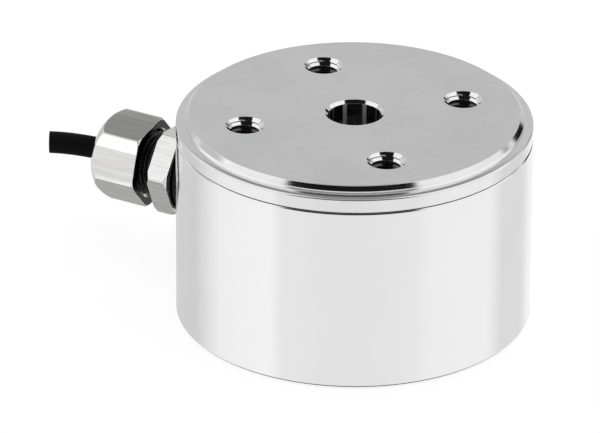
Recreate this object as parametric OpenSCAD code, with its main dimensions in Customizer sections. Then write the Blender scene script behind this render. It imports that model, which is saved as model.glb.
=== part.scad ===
// Six-axis force and torque sensor with a centre bore and a side cable gland.
// The origin is the centre of the bottom face, +Z is up and the gland points along -X.
// All sizes are in millimetres.

/* [Body] */
// Outside diameter of the housing and of the flange rim
body_d = 60; // [58:0.5:70]
// Height of the housing
housing_h = 32.2; // [31.8:0.1:38]
// Gap under the rim that lets the load flange move
load_gap = 0.45; // [0.2:0.05:0.8]
// Height of the rim of the load flange
rim_h = 2.35; // [1.8:0.05:4]
// Diameter of the raised tool face
face_d = 56.4; // [52:0.2:57]
// Height of the raised tool face above the rim
face_h = 1.3; // [0.8:0.05:2.5]
// Chamfer on the outer edges
edge_chamfer = 0.3; // [0.1:0.05:0.5]
// Diameter of the bore through the centre
bore_d = 9; // [7:0.1:9.4]
// Chamfer at both mouths of the centre bore
bore_chamfer = 0.25; // [0.1:0.05:0.5]

/* [Tapped holes of both faces] */
// Pitch circle of the four tapped holes
bolt_pcd = 38; // [34:0.5:39]
// Tapping diameter of the M6 holes
bolt_tap_d = 5; // [4.2:0.1:5.2]
// Diameter of the countersink at the mouths in the tool face
bolt_sink_d = 6.6; // [5.6:0.1:7]
// Diameter of the countersink at the mouths in the base
base_sink_d = 5.9; // [5.4:0.1:6]
// Depth of the tapped holes
bolt_depth = 6.5; // [5:0.1:6.6]
// Angle from the gland to the first hole
bolt_a = 45; // [45]

/* [Housing] */
// Wall beside the spring ring
wall_t = 4; // [3.6:0.1:5]
// Width of the shoulder that carries the spring ring
seat_w = 4.8; // [4.6:0.1:5.4]
// Wall around the base plate
base_wall = 2.5; // [2:0.1:2.8]
// Material between the gland thread and the shoulder
seat_cover = 0.6; // [0.4:0.1:1]
// Thickness of the base plate
base_h = 8; // [7.6:0.1:8.6]
// Running clearance of parts that slide into each other
fit_clear = 0.05; // [0.02:0.01:0.1]
// Clearance between a thread and its hole, both drawn as plain cylinders
thread_clear = 0.02; // [0.01:0.01:0.05]

/* [Spring element] */
// Height of the hub
hub_h = 8.2; // [7.6:0.1:8.6]
// Height of the outer ring
ring_h = 5.2; // [5:0.1:5.6]
// Width of the outer ring
ring_w = 4.45; // [4.3:0.05:4.6]
// Gap between the outer ring and the load flange
float_gap = 0.8; // [0.5:0.1:1]
// Length of the four measuring beams between the hub and the leaves
beam_l = 7.2; // [6.8:0.1:7.6]
// Width of the four measuring beams
beam_w = 4; // [3:0.1:5]
// Height of the four measuring beams
beam_h = 4; // [3:0.1:4.6]
// Thickness of the leaves at the beam ends
leaf_t = 1.2; // [0.8:0.1:1.6]
// Width of the slots behind the leaves
slot_w = 1; // [0.6:0.1:1.2]
// Half length of the slots behind the leaves
slot_half = 6.4; // [5:0.1:6.6]
// Material between a slot and the outside of the ring
ring_web = 3.55; // [3.3:0.05:3.8]
// Depth of the relief under the leaves
leaf_relief = 0.4; // [0.2:0.1:0.8]
// Fillet where a beam meets the hub
beam_fillet = 1; // [0.5:0.1:1.5]

/* [Screws and pins] */
// Thread diameter of the hub and base screws
screw_d = 3; // [2.6:0.1:3]
// Clearance hole around those screws
screw_hole_d = 3.2; // [3.1:0.05:3.4]
// Head diameter of those screws
screw_head_d = 5.5; // [5:0.1:5.6]
// Head height of those screws
screw_head_h = 3; // [2.6:0.1:3]
// Play around a sunk screw head
head_clear = 0.15; // [0.1:0.05:0.2]
// Width across flats of the socket in the heads
socket_af = 2.5; // [2:0.1:2.6]
// Depth of the hub screw heads under the hub's lower face
hub_head_sink = 0.2; // [0.1:0.05:0.3]
// Distance from the hub's outside to the hub screws
hub_screw_in = 3.9; // [3.6:0.1:4.4]
// Length of thread that the hub screws hold in
hub_engage = 4; // [3:0.1:4.4]
// Distance from the ring's outside to the base screws
base_screw_in = 2.35; // [2.2:0.05:2.5]
// Length of thread that the base screws hold in
base_engage = 3.6; // [3:0.1:4]
// Depth of the seats of the base screw heads
base_head_sink = 4.6; // [4:0.1:4.8]
// Diameter of the dowels in the hub
hub_dowel_d = 2.5; // [2:0.1:3]
// Distance from the hub's outside to the hub dowels
hub_dowel_in = 4; // [3.6:0.1:4.4]
// Half length of the hub dowels
hub_dowel_half = 3; // [2:0.1:3.6]
// Diameter of the dowels under the ring
ring_dowel_d = 2; // [1.5:0.1:2.4]
// Half length of the ring dowels
ring_dowel_half = 2.2; // [1.6:0.1:2.4]

/* [Seals and sleeve] */
// Radial play of the spigot in the housing
spigot_clear = 0.4; // [0.3:0.05:0.6]
// Cord diameter of the seal ring
seal_cord_d = 1.5; // [1.2:0.1:1.7]
// Cord diameter of the base O-ring
base_cord_d = 1.4; // [1.2:0.1:1.5]
// Distance of the base O-ring from the top of the base plate
base_cord_in = 1.8; // [1.4:0.1:1.9]
// Side play of both rings in their grooves
groove_play = 0.2; // [0.1:0.05:0.25]
// Wall of the sleeve around the centre bore
sleeve_wall = 1; // [0.8:0.1:1.2]
// Height of the sleeve's seat in the base plate
sleeve_seat = 3; // [2:0.1:4]
// Gap between the sleeve and the hub
sleeve_gap = 0.3; // [0.2:0.05:0.5]

/* [Gauges and electronics] */
// Length of a strain gauge
gauge_l = 4.6; // [3.6:0.1:5]
// Width of a strain gauge
gauge_w = 2.4; // [1.6:0.1:2.8]
// Thickness of a strain gauge
gauge_t = 0.1; // [0.08:0.02:0.2]
// Distance of a gauge from the hub
gauge_in = 0.8; // [0.6:0.1:1]
// Diameter of a gauge lead
lead_d = 0.4; // [0.2:0.05:0.4]
// Distance between the two leads of a beam
lead_gap = 1.8; // [1.2:0.1:2]
// Thickness of the terminal board
board_t = 1.2; // [0.8:0.1:1.6]
// Play between the terminal board and the housing
board_play = 0.8; // [0.5:0.1:1]
// Opening of the terminal board around the sleeve
board_hole_d = 14; // [13:0.5:16]
// Height of the standoffs
standoff_h = 2; // [1.5:0.1:2.6]
// Diameter of the standoffs
standoff_d = 4.4; // [4:0.1:5]
// Radius of the circle of standoffs
standoff_r = 12.5; // [12:0.1:13]
// Thread diameter of the board screws
board_screw_d = 1.6; // [1.4:0.1:2]
// Head diameter of the board screws
board_head_d = 3.4; // [3:0.1:3.8]
// Head height of the board screws
board_head_h = 1.1; // [0.8:0.1:1.4]
// Play of the board screws in the board and the standoffs
board_screw_play = 0.1; // [0.05:0.05:0.2]
// Thread length of the board screws in the base plate
board_engage = 3; // [2:0.1:3.6]
// Gap between a gauge lead and an amplifier chip
chip_gap = 0.6; // [0.4:0.1:0.8]
// Side length of the amplifier chips
chip_w = 4.8; // [4:0.1:5]
// Height of the amplifier chips
chip_h = 1; // [0.8:0.1:1.4]
// Length of a chip lead over the board
chip_pin_l = 0.7; // [0.4:0.1:0.8]
// Number of leads on each side of a chip
chip_pins = 5; // [4:1:6]
// Gap between a gauge lead and the board connector
connector_gap = 0.4; // [0.3:0.1:0.8]
// Width of the board connector along the cable
connector_w = 3.6; // [3:0.1:3.8]
// Length of the board connector across the cable
connector_l = 9; // [6:0.1:10]
// Height of the board connector
connector_h = 2.4; // [2:0.1:2.8]

/* [Cable] */
// Outside diameter of the cable
cable_d = 3.8; // [3.4:0.1:4]
// Wall of the cable jacket
jacket_wall = 0.45; // [0.35:0.05:0.5]
// Thickness of the braided shield
shield_t = 0.18; // [0.12:0.02:0.24]
// Diameter of each core over its insulation
core_d = 0.7; // [0.6:0.02:0.72]
// Diameter of the circle of the six outer cores
core_ring_d = 1.52; // [1.46:0.02:1.56]
// Diameter of the copper strand in a core
wire_d = 0.36; // [0.24:0.02:0.4]
// Length of cable outside the gland
cable_out = 11.4; // [8:0.1:16]
// Length of the bare cores between their bend and the shield
core_free = 0.5; // [0.3:0.1:0.8]
// Length of the bare shield inside the housing
strip_l = 0.8; // [0.4:0.1:1.2]
// Radius in which the free end sags
sag_r = 59; // [50:1:90]
// Angle between the cut and a square end
cut_a = 28.7; // [0:0.1:35]
// Height of the gland axis
gland_z = 17.4; // [17:0.1:17.8]

/* [Gland] */
// Thread diameter of the gland in the housing
gland_thread_d = 10; // [9:0.1:10]
// Thread diameter under the cap nut
cap_thread_d = 11; // [10.4:0.1:11.4]
// Width across flats of both hexagons
hex_af = 14; // [13.6:0.1:15]
// Distance from the housing wall to the body hexagon
gland_stand = 2.3; // [1.6:0.1:3]
// Length of the body hexagon
body_hex_l = 3.8; // [3:0.1:5]
// Length of thread in view between the hexagons
neck_l = 2.9; // [2:0.1:4]
// Length of the cap nut
nut_l = 9.7; // [9:0.1:12]
// Radius of the crown on the cap nut
crown_r = 5.6; // [4.6:0.1:6]
// Diameter of the flat end of the cap nut
nut_face_d = 9.6; // [8.6:0.1:10]
// Turning play of the corners, from the axis to the crown's side
crown_side = 0.52; // [0.3:0.02:0.8]
// Turned angle of the body hexagon
body_hex_a = 37.2; // [0:0.1:60]
// Turned angle of the cap nut
nut_a = 18.7; // [0:0.1:60]
// Diameter of the black gasket
gasket_d = 13.6; // [12.6:0.1:13.8]
// Height of the washer face under the body hexagon
washer_h = 0.3; // [0.2:0.05:0.5]
// Play of the cable in the gland bore
cable_play = 0.2; // [0.1:0.05:0.3]
// Length of the rubber seal
gland_seal_l = 3.8; // [3:0.1:4.2]
// Wall of the gland body around the seal
seal_wall = 1.2; // [1:0.1:1.4]
// Thickness of the claw ring's flange
claw_t = 1; // [0.8:0.1:1.2]
// Number of slots in the claw ring
claw_slots = 8; // [6:1:10]
// Width of a claw slot
claw_slot_w = 0.6; // [0.4:0.1:0.8]

/* [Hidden] */

$fa = 5;
$fs = 0.12;
eps = 0.01;

// Radii, from the outside inwards
body_r = body_d / 2;
face_r = face_d / 2;
bore_r = bore_d / 2;
seat_r = body_r - wall_t;
shaft_r = seat_r - seat_w;
base_bore_r = body_r - base_wall;
base_r = base_bore_r - fit_clear;
ring_r = seat_r - fit_clear;
ring_in_r = ring_r - ring_w;
slot_x1 = ring_r - ring_web;
slot_x0 = slot_x1 - slot_w;
leaf_x0 = slot_x0 - leaf_t;
hub_r = leaf_x0 - beam_l;
hub_screw_r = hub_r - hub_screw_in;
hub_dowel_r = hub_r - hub_dowel_in;
spigot_r = seat_r - spigot_clear;
base_screw_r = ring_r - base_screw_in;
base_screw_a = bolt_a / 2;
ring_dowel_at = (slot_x1 + ring_r) / 2;
sleeve_r = bore_r + sleeve_wall;
board_r = shaft_r - board_play;

// Heights, from the bottom upwards
thread_top = gland_z + gland_thread_d / 2 + thread_clear;
seat_z = thread_top + seat_cover;
ring_top = seat_z + ring_h;
hub_top = ring_top + float_gap;
hub_z = hub_top - hub_h;
rim_z = housing_h + load_gap;
ledge_z = rim_z + rim_h;
top_z = ledge_z + face_h;
beam_z = seat_z + ring_h / 2 - beam_h / 2;
board_z = base_h + standoff_h;
board_top = board_z + board_t;

// Gauges and electronics, from the hub outwards
lead_x = hub_r + gauge_in + gauge_t + lead_d / 2;
chip_x = lead_x + lead_d / 2 + chip_gap;
connector_x = lead_x + lead_d / 2 + connector_gap;

// Screws and pins
base_seat_z = base_head_sink;
base_screw_l = seat_z - base_seat_z + base_engage;
hub_seat_z = hub_z + screw_head_h + hub_head_sink;
hub_screw_l = hub_top - hub_seat_z + hub_engage;
tap_over = 0.5;

// Seals
seal_r = seal_cord_d / 2;
seal_z = (hub_top + housing_h) / 2;
base_cord_r = base_cord_d / 2;
base_cord_z = base_h - base_cord_in;

// The gland, measured along its axis from the axis of the body
spot_r = gasket_d / 2 + 0.2;
spot_s = sqrt(body_r * body_r - spot_r * spot_r) - 0.1;
hex_s = body_r + gland_stand;
washer_s = hex_s - washer_h;
neck_s = hex_s + body_hex_l;
nut_s = neck_s + neck_l;
mouth_s = nut_s + nut_l;
hex_r = hex_af / 2 / cos(30);
crown_out = hex_r + crown_side;
crown_c = crown_out - crown_r;
crown_s = mouth_s - sqrt(pow(crown_r, 2) - pow(nut_face_d / 2 - crown_c, 2));
shank_s = shaft_r + 1.1;
cap_r = cap_thread_d / 2;
claw_out_s = mouth_s - 2.6;
cap_end_s = claw_out_s - claw_t - 0.05;
seal_end_s = cap_end_s - 0.5;
seal_s = seal_end_s - gland_seal_l;
seal_out_r = cap_r - seal_wall;

// The cable
cable_r = cable_d / 2;
jacket_in_r = cable_r - jacket_wall;
shield_r = jacket_in_r - thread_clear;
shield_in_r = shield_r - shield_t;
core_r = core_d / 2;
pass_r = cable_r + cable_play;
connector_s = connector_x + connector_w / 2;
turn_r = 2.4;
turn_s = connector_s + turn_r;
shield_s = turn_s + core_free;
jacket_s = shield_s + strip_l;
sag_s = mouth_s - 0.6;
cut_s = mouth_s + cable_out;
sag_a = asin((cut_s - sag_s + cable_d) / sag_r);

// ---- helpers ----

// A plain washer or tube that stands on z = 0.
module tube(r_out, r_in, h) {
    difference() {
        cylinder(r = r_out, h = h);
        translate([0, 0, -eps])
            cylinder(r = r_in, h = h + 2 * eps);
    }
}

// Copies its children n times around the Z axis, at radius r.
module around(n, r, a0 = 0) {
    for (i = [0 : n - 1])
        rotate([0, 0, a0 + i * 360 / n])
            translate([r, 0, 0])
                children();
}

// A disc with chamfers c_low and c_high on its outer edges.
module chamfered_disc(r, h, c_low = 0, c_high = 0) {
    rotate_extrude()
        polygon([[0, 0], [r - c_low, 0], [r, c_low], [r, h - c_high], [r - c_high, h], [0, h]]);
}

// A tapped hole that goes down from z = 0, with its countersink.
module tapped_hole(d, depth, sink_d) {
    translate([0, 0, -depth])
        cylinder(d = d, h = depth + eps);
    translate([0, 0, -(sink_d - d) / 2])
        cylinder(d1 = d, d2 = sink_d + 2 * eps, h = (sink_d - d) / 2 + eps);
}

// A socket head screw: the head's underside is at z = 0 and the thread points up.
module cap_screw(d, l, head_d, head_h, af) {
    difference() {
        union() {
            translate([0, 0, -head_h])
                chamfered_disc(head_d / 2, head_h, head_d * 0.06, 0);
            translate([0, 0, -eps])
                chamfered_disc(d / 2, l + eps, 0, d * 0.12);
        }
        translate([0, 0, -head_h - eps])
            cylinder(d = af / cos(30), h = head_h / 2 + eps, $fn = 6);
    }
}

// The ring of an O-ring of cord radius c, centred at radius r.
module o_ring(r, c) {
    rotate_extrude()
        translate([r, 0])
            circle(r = c);
}

// Puts the children's Z axis on the gland axis, with their X axis pointing up.
module on_gland(s = 0) {
    translate([-s, 0, gland_z])
        rotate([0, -90, 0])
            children();
}

// A hexagonal prism of length l that is turned by angle a.
module hex_prism(l, a) {
    rotate([0, 0, a])
        cylinder(r = hex_r, h = l, $fn = 6);
}

// Runs a flat section along the cable, from s_from to its cut end.
module along_cable(s_from) {
    difference() {
        union() {
            on_gland(s_from)
                linear_extrude(height = sag_s - s_from)
                    children();
            on_gland(sag_s)
                translate([-sag_r, 0, 0])
                    rotate([90, 0, 0])
                        rotate_extrude(angle = sag_a)
                            translate([sag_r, 0])
                                children();
        }
        on_gland(cut_s)
            rotate([cut_a, 0, 0])
                translate([-2 * cable_d, -2 * cable_d, 0])
                    cube([4 * cable_d, 4 * cable_d, 4 * cable_d]);
    }
}

// Centres of the seven cores: one in the middle and six around it.
function core_at(i) = i == 0 ? [0, 0] : core_ring_d / 2 * [cos(60 * i), sin(60 * i)];

// ---- structure ----

module load_flange() {
    color("silver")
        difference() {
            union() {
                translate([0, 0, ledge_z - eps])
                    chamfered_disc(face_r, face_h + eps, 0, edge_chamfer);
                translate([0, 0, rim_z])
                    chamfered_disc(body_r, rim_h, edge_chamfer / 2, edge_chamfer);
                translate([0, 0, hub_top])
                    chamfered_disc(spigot_r, rim_z - hub_top + eps, edge_chamfer, 0);
            }
            translate([0, 0, hub_top - eps])
                cylinder(r = bore_r, h = top_z);
            translate([0, 0, top_z - bore_chamfer])
                cylinder(r1 = bore_r, r2 = bore_r + bore_chamfer + eps, h = bore_chamfer + eps);
            around(4, bolt_pcd / 2, bolt_a)
                translate([0, 0, top_z])
                    tapped_hole(bolt_tap_d, bolt_depth, bolt_sink_d);
            around(4, hub_screw_r, bolt_a)
                translate([0, 0, hub_top - eps])
                    cylinder(r = screw_d / 2 + thread_clear, h = hub_engage + tap_over + eps);
            around(2, hub_dowel_r)
                translate([0, 0, hub_top - eps])
                    cylinder(r = hub_dowel_d / 2 + thread_clear, h = hub_dowel_half + tap_over);
            translate([0, 0, seal_z - seal_r - groove_play])
                tube(spigot_r + 1, seat_r - seal_cord_d - 2 * thread_clear, seal_cord_d + 2 * groove_play);
        }
}

module housing() {
    color("lightgray")
        difference() {
            chamfered_disc(body_r, housing_h, edge_chamfer, edge_chamfer / 2);
            translate([0, 0, -eps])
                cylinder(r = base_bore_r, h = base_h + eps);
            cylinder(r = shaft_r, h = housing_h);
            translate([0, 0, seat_z])
                cylinder(r = seat_r, h = housing_h);
            around(8, base_screw_r, base_screw_a)
                cylinder(d = screw_hole_d, h = seat_z + 1);
            around(2, ring_dowel_at, 90)
                ring_dowel_hole();
            on_gland(shaft_r - 1)
                cylinder(r = gland_thread_d / 2 + thread_clear, h = wall_t + seat_w + 2);
            on_gland(spot_s)
                cylinder(r = spot_r, h = wall_t);
        }
}

// The hole for a dowel that locates the spring ring on the housing's shoulder.
module ring_dowel_hole() {
    translate([0, 0, seat_z - ring_dowel_half - tap_over])
        cylinder(r = ring_dowel_d / 2 + thread_clear, h = 2 * ring_dowel_half + 2 * tap_over);
}

module base_plate() {
    color("gray")
        difference() {
            chamfered_disc(base_r, base_h, edge_chamfer / 2, edge_chamfer);
            translate([0, 0, -eps])
                cylinder(r = bore_r, h = base_h + 1);
            translate([0, 0, -eps])
                cylinder(r1 = bore_r + bore_chamfer + eps, r2 = bore_r, h = bore_chamfer + eps);
            translate([0, 0, sleeve_seat])
                cylinder(r = sleeve_r + thread_clear, h = base_h);
            around(4, bolt_pcd / 2, bolt_a)
                mirror([0, 0, 1])
                    tapped_hole(bolt_tap_d, bolt_depth, base_sink_d);
            around(8, base_screw_r, base_screw_a) {
                translate([0, 0, -eps])
                    cylinder(r = screw_head_d / 2 + head_clear, h = base_seat_z + eps);
                cylinder(d = screw_hole_d, h = base_h + 1);
            }
            around(4, standoff_r, bolt_a)
                translate([0, 0, base_h - board_engage - tap_over])
                    cylinder(r = board_screw_d / 2 + thread_clear, h = board_engage + 1);
            translate([0, 0, base_cord_z - base_cord_r - groove_play])
                tube(base_r + 1, base_bore_r - base_cord_d - 2 * thread_clear,
                    base_cord_d + 2 * groove_play);
        }
}

// The outline of a slot behind a leaf, with round ends.
module slot_2d() {
    straight = slot_half - slot_w / 2;
    translate([slot_x0, -straight])
        square([slot_w, 2 * straight]);
    for (side = [-1, 1])
        translate([slot_x0 + slot_w / 2, side * straight])
            circle(d = slot_w);
}

// The outline of one beam along +X, with fillets at the hub and at the leaf.
module beam_2d() {
    half = beam_w / 2;
    hub_x = sqrt(pow(hub_r + beam_fillet, 2) - pow(half + beam_fillet, 2));
    touch = [hub_x, half + beam_fillet] * hub_r / (hub_r + beam_fillet);
    root = beam_fillet / 2;
    translate([bore_r + 1, -half])
        square([leaf_x0 + eps - bore_r - 1, beam_w]);
    for (side = [0, 1])
        mirror([0, side]) {
            difference() {
                polygon([[hub_x, half], touch, [touch[0] - 1, half - eps], [hub_x, half - eps]]);
                translate([hub_x, half + beam_fillet])
                    circle(r = beam_fillet);
            }
            difference() {
                translate([leaf_x0 - root, half - eps])
                    square([root + eps, root + eps]);
                translate([leaf_x0 - root, half + root])
                    circle(r = root);
            }
        }
}

// The outer ring with its window, its leaves and the slots behind them.
module spring_ring_2d() {
    difference() {
        circle(r = ring_r);
        intersection() {
            circle(r = ring_in_r);
            square(2 * leaf_x0, center = true);
        }
        for (i = [0 : 3])
            rotate(90 * i)
                slot_2d();
    }
}

module spring_element() {
    color("gainsboro")
        difference() {
            union() {
                difference() {
                    translate([0, 0, seat_z])
                        linear_extrude(height = ring_h)
                            spring_ring_2d();
                    translate([0, 0, seat_z - eps])
                        cylinder(r = slot_x1 + leaf_relief / 2, h = leaf_relief + eps);
                }
                translate([0, 0, beam_z])
                    linear_extrude(height = beam_h)
                        for (i = [0 : 3])
                            rotate(90 * i)
                                beam_2d();
                translate([0, 0, hub_z])
                    chamfered_disc(hub_r, hub_h, edge_chamfer, edge_chamfer);
            }
            translate([0, 0, hub_z - 1])
                cylinder(r = bore_r, h = hub_h + 2);
            around(4, hub_screw_r, bolt_a) {
                translate([0, 0, hub_z - eps])
                    cylinder(r = screw_head_d / 2 + head_clear, h = hub_seat_z - hub_z + eps);
                translate([0, 0, hub_z])
                    cylinder(d = screw_hole_d, h = hub_h + 1);
            }
            around(2, hub_dowel_r)
                translate([0, 0, hub_top - hub_dowel_half - tap_over])
                    cylinder(r = hub_dowel_d / 2 + thread_clear, h = hub_h);
            around(8, base_screw_r, base_screw_a)
                translate([0, 0, seat_z - eps])
                    cylinder(r = screw_d / 2 + thread_clear, h = base_engage + tap_over + eps);
            around(2, ring_dowel_at, 90)
                ring_dowel_hole();
        }
}

module bore_sleeve() {
    color("darkgray")
        translate([0, 0, sleeve_seat])
            tube(sleeve_r, bore_r, hub_z - sleeve_gap - sleeve_seat);
}

// ---- screws, pins and seals ----

module hub_screws() {
    color("dimgray")
        around(4, hub_screw_r, bolt_a)
            translate([0, 0, hub_seat_z])
                cap_screw(screw_d, hub_screw_l, screw_head_d, screw_head_h, socket_af);
}

module base_screws() {
    color("dimgray")
        around(8, base_screw_r, base_screw_a)
            translate([0, 0, base_seat_z])
                cap_screw(screw_d, base_screw_l, screw_head_d, screw_head_h, socket_af);
}

module hub_dowels() {
    color("lightsteelblue")
        around(2, hub_dowel_r)
            translate([0, 0, hub_top - hub_dowel_half])
                chamfered_disc(hub_dowel_d / 2, 2 * hub_dowel_half, 0.2, 0.2);
}

module ring_dowels() {
    color("lightsteelblue")
        around(2, ring_dowel_at, 90)
            translate([0, 0, seat_z - ring_dowel_half])
                chamfered_disc(ring_dowel_d / 2, 2 * ring_dowel_half, 0.2, 0.2);
}

module seal_ring() {
    color("black")
        translate([0, 0, seal_z])
            o_ring(seat_r - seal_r - thread_clear, seal_r);
}

module base_o_ring() {
    color("black")
        translate([0, 0, base_cord_z])
            o_ring(base_bore_r - base_cord_r - thread_clear, base_cord_r);
}

// ---- gauges and electronics ----

// One gauge foil on each beam, with its near edge beside the hub, at height z.
module beam_gauges(z) {
    around(4, hub_r + gauge_in)
        translate([0, -gauge_w / 2, z])
            cube([gauge_l, gauge_w, gauge_t]);
}

module gauges_top() {
    color("goldenrod")
        beam_gauges(beam_z + beam_h);
}

module gauges_bottom() {
    color("goldenrod")
        beam_gauges(beam_z - gauge_t);
}

module gauges_side() {
    color("goldenrod")
        around(4, hub_r + gauge_in)
            for (side = [0, 1])
                mirror([0, side, 0])
                    translate([0, beam_w / 2, beam_z + (beam_h - gauge_w) / 2])
                        cube([gauge_l, gauge_t, gauge_w]);
}

module gauge_leads() {
    color("firebrick")
        around(4, lead_x)
            for (side = [-1, 1])
                translate([0, side * lead_gap / 2, board_top])
                    cylinder(d = lead_d, h = beam_z - gauge_t - board_top);
}

module terminal_board() {
    color("darkgreen")
        translate([0, 0, board_z])
            difference() {
                tube(board_r, board_hole_d / 2, board_t);
                around(4, standoff_r, bolt_a)
                    translate([0, 0, -eps])
                        cylinder(r = board_screw_d / 2 + board_screw_play, h = board_t + 2 * eps);
            }
}

module board_standoffs() {
    color("khaki")
        around(4, standoff_r, bolt_a)
            translate([0, 0, base_h])
                tube(standoff_d / 2, board_screw_d / 2 + board_screw_play, standoff_h);
}

module board_screws() {
    color("dimgray")
        around(4, standoff_r, bolt_a)
            translate([0, 0, board_top])
                mirror([0, 0, 1])
                    cap_screw(board_screw_d, board_t + standoff_h + board_engage,
                        board_head_d, board_head_h, board_screw_d);
}

// Places its children at the three chips; the connector takes the fourth place.
module at_chips() {
    for (a = [-90, 0, 90])
        rotate([0, 0, a])
            translate([chip_x + chip_w / 2, 0, board_top])
                children();
}

module amplifier_chips() {
    color("darkslategray")
        at_chips()
            translate([-chip_w / 2, -chip_w / 2, 0])
                cube([chip_w, chip_w, chip_h]);
}

module chip_leads() {
    pitch = chip_w / chip_pins;
    color("silver")
        at_chips()
            for (side = [0, 1], i = [0 : chip_pins - 1])
                mirror([0, side, 0])
                    translate([(i + 0.5) * pitch - chip_w / 2 + 0.15, chip_w / 2, 0])
                        rotate([0, -90, 0])
                            linear_extrude(height = 0.3)
                                polygon([[0, chip_pin_l], [0.12, chip_pin_l], [0.12, 0.4 * chip_pin_l],
                                    [chip_h / 2, 0.25 * chip_pin_l], [chip_h / 2, 0],
                                    [chip_h / 2 - 0.12, 0], [0, 0.25 * chip_pin_l]]);
}

module board_connector() {
    color("ivory")
        translate([-connector_x - connector_w, -connector_l / 2, board_top])
            difference() {
                cube([connector_w, connector_l, connector_h]);
                for (side = [0, 1])
                    translate([connector_w * (side == 0 ? -0.1 : 0.8), connector_l / 4, connector_h / 2])
                        cube([connector_w * 0.3, connector_l / 2, connector_h]);
            }
}

// ---- cable ----

module cable_jacket() {
    color("black")
        along_cable(jacket_s)
            difference() {
                circle(r = cable_r);
                circle(r = jacket_in_r);
            }
}

module cable_shield() {
    color("silver")
        along_cable(shield_s)
            difference() {
                circle(r = shield_r);
                circle(r = shield_in_r);
            }
}

// A round section of radius r with a hole of radius r_in, run along every core.
module all_cores(r, r_in) {
    for (i = [0 : 6])
        let (at = core_at(i)) {
            along_cable(turn_s)
                core_2d(at, r, r_in);
            on_gland(turn_s)
                translate([-turn_r, 0, 0])
                    rotate([90, 0, 0])
                        rotate([0, 0, -90])
                            rotate_extrude(angle = 90)
                                translate([turn_r, 0])
                                    mirror([0, 1])
                                        core_2d(at, r, r_in);
            translate([-connector_s, 0, board_top + connector_h])
                linear_extrude(height = gland_z - turn_r - board_top - connector_h)
                    core_2d(at, r, r_in);
        }
}

// The section of one core at a point of the bundle.
module core_2d(at, r, r_in) {
    translate(at)
        difference() {
            circle(r = r);
            if (r_in > 0)
                circle(r = r_in);
        }
}

module cable_cores() {
    color("orangered")
        all_cores(core_r, wire_d / 2 + thread_clear);
}

module core_strands() {
    color("peru")
        all_cores(wire_d / 2, 0);
}

// ---- gland ----

module gland_body() {
    color("silver")
        on_gland()
            difference() {
                union() {
                    translate([0, 0, shank_s])
                        chamfered_disc(gland_thread_d / 2, washer_s - shank_s, 0.4, 0);
                    translate([0, 0, washer_s])
                        cylinder(r = hex_af / 2 - 0.1, h = washer_h);
                    intersection() {
                        translate([0, 0, hex_s])
                            hex_prism(body_hex_l, body_hex_a);
                        translate([0, 0, hex_s])
                            chamfered_disc(hex_r, body_hex_l, (hex_r - hex_af / 2) * 0.5,
                                (hex_r - hex_af / 2) * 0.5);
                    }
                    translate([0, 0, neck_s - eps])
                        chamfered_disc(cap_r, cap_end_s - neck_s + eps, 0, 0.3);
                }
                translate([0, 0, shank_s - 1])
                    cylinder(r = pass_r, h = mouth_s);
                translate([0, 0, seal_s])
                    cylinder(r = seal_out_r + thread_clear, h = mouth_s);
            }
}

// Half of the cap nut's turned section: a cylinder that ends in a crown.
module crown_2d() {
    intersection() {
        union() {
            square([crown_out, crown_s - nut_s]);
            square([crown_c, nut_l]);
            translate([crown_c, crown_s - nut_s])
                circle(r = crown_r);
        }
        polygon([[0, 0], [hex_r - edge_chamfer, 0], [hex_r, edge_chamfer], [crown_out, edge_chamfer],
            [crown_out, nut_l], [0, nut_l]]);
    }
}

module gland_nut() {
    mouth_r = pass_r + 0.3;
    color("silver")
        on_gland(nut_s)
            difference() {
                intersection() {
                    hex_prism(nut_l, nut_a);
                    rotate_extrude()
                        crown_2d();
                }
                translate([0, 0, -eps])
                    cylinder(r = cap_r + thread_clear, h = claw_out_s - nut_s + eps);
                translate([0, 0, -eps])
                    cylinder(r1 = cap_r + 0.6, r2 = cap_r, h = 0.6);
                cylinder(r = mouth_r, h = nut_l + 1);
                translate([0, 0, nut_l - 0.6])
                    cylinder(r1 = mouth_r, r2 = mouth_r + 0.6 + eps, h = 0.6 + eps);
            }
}

module gland_seal() {
    color("dimgray")
        on_gland(seal_s)
            rotate_extrude()
                polygon([[cable_r + thread_clear, 0], [seal_out_r, 0], [seal_out_r, gland_seal_l - 0.8],
                    [seal_out_r - 0.8, gland_seal_l], [cable_r + thread_clear, gland_seal_l]]);
}

module gland_claw() {
    color("whitesmoke")
        on_gland()
            difference() {
                union() {
                    translate([0, 0, claw_out_s - claw_t])
                        cylinder(r = cap_r - 0.2, h = claw_t);
                    translate([0, 0, seal_end_s])
                        cylinder(r1 = seal_out_r - 0.8, r2 = seal_out_r - 0.2,
                            h = claw_out_s - claw_t - seal_end_s + eps);
                }
                translate([0, 0, seal_end_s - 1])
                    cylinder(r = pass_r, h = mouth_s);
                for (i = [0 : claw_slots - 1])
                    rotate([0, 0, i * 360 / claw_slots])
                        translate([0, -claw_slot_w / 2, seal_end_s - 1])
                            cube([seal_out_r + 0.4, claw_slot_w, 1 + claw_out_s - seal_end_s - claw_t / 2]);
            }
}

module gland_gasket() {
    round_r = 0.8;
    thick = washer_s - spot_s;
    color("black")
        on_gland(spot_s)
            rotate_extrude() {
                translate([gland_thread_d / 2 + 0.1, 0])
                    square([(gasket_d - gland_thread_d) / 2 - 0.1 - round_r, thick]);
                translate([gasket_d / 2 - round_r - eps, round_r])
                    square([round_r + eps, thick - 2 * round_r]);
                for (z = [round_r, thick - round_r])
                    translate([gasket_d / 2 - round_r, z])
                        circle(r = round_r);
            }
}

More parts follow.
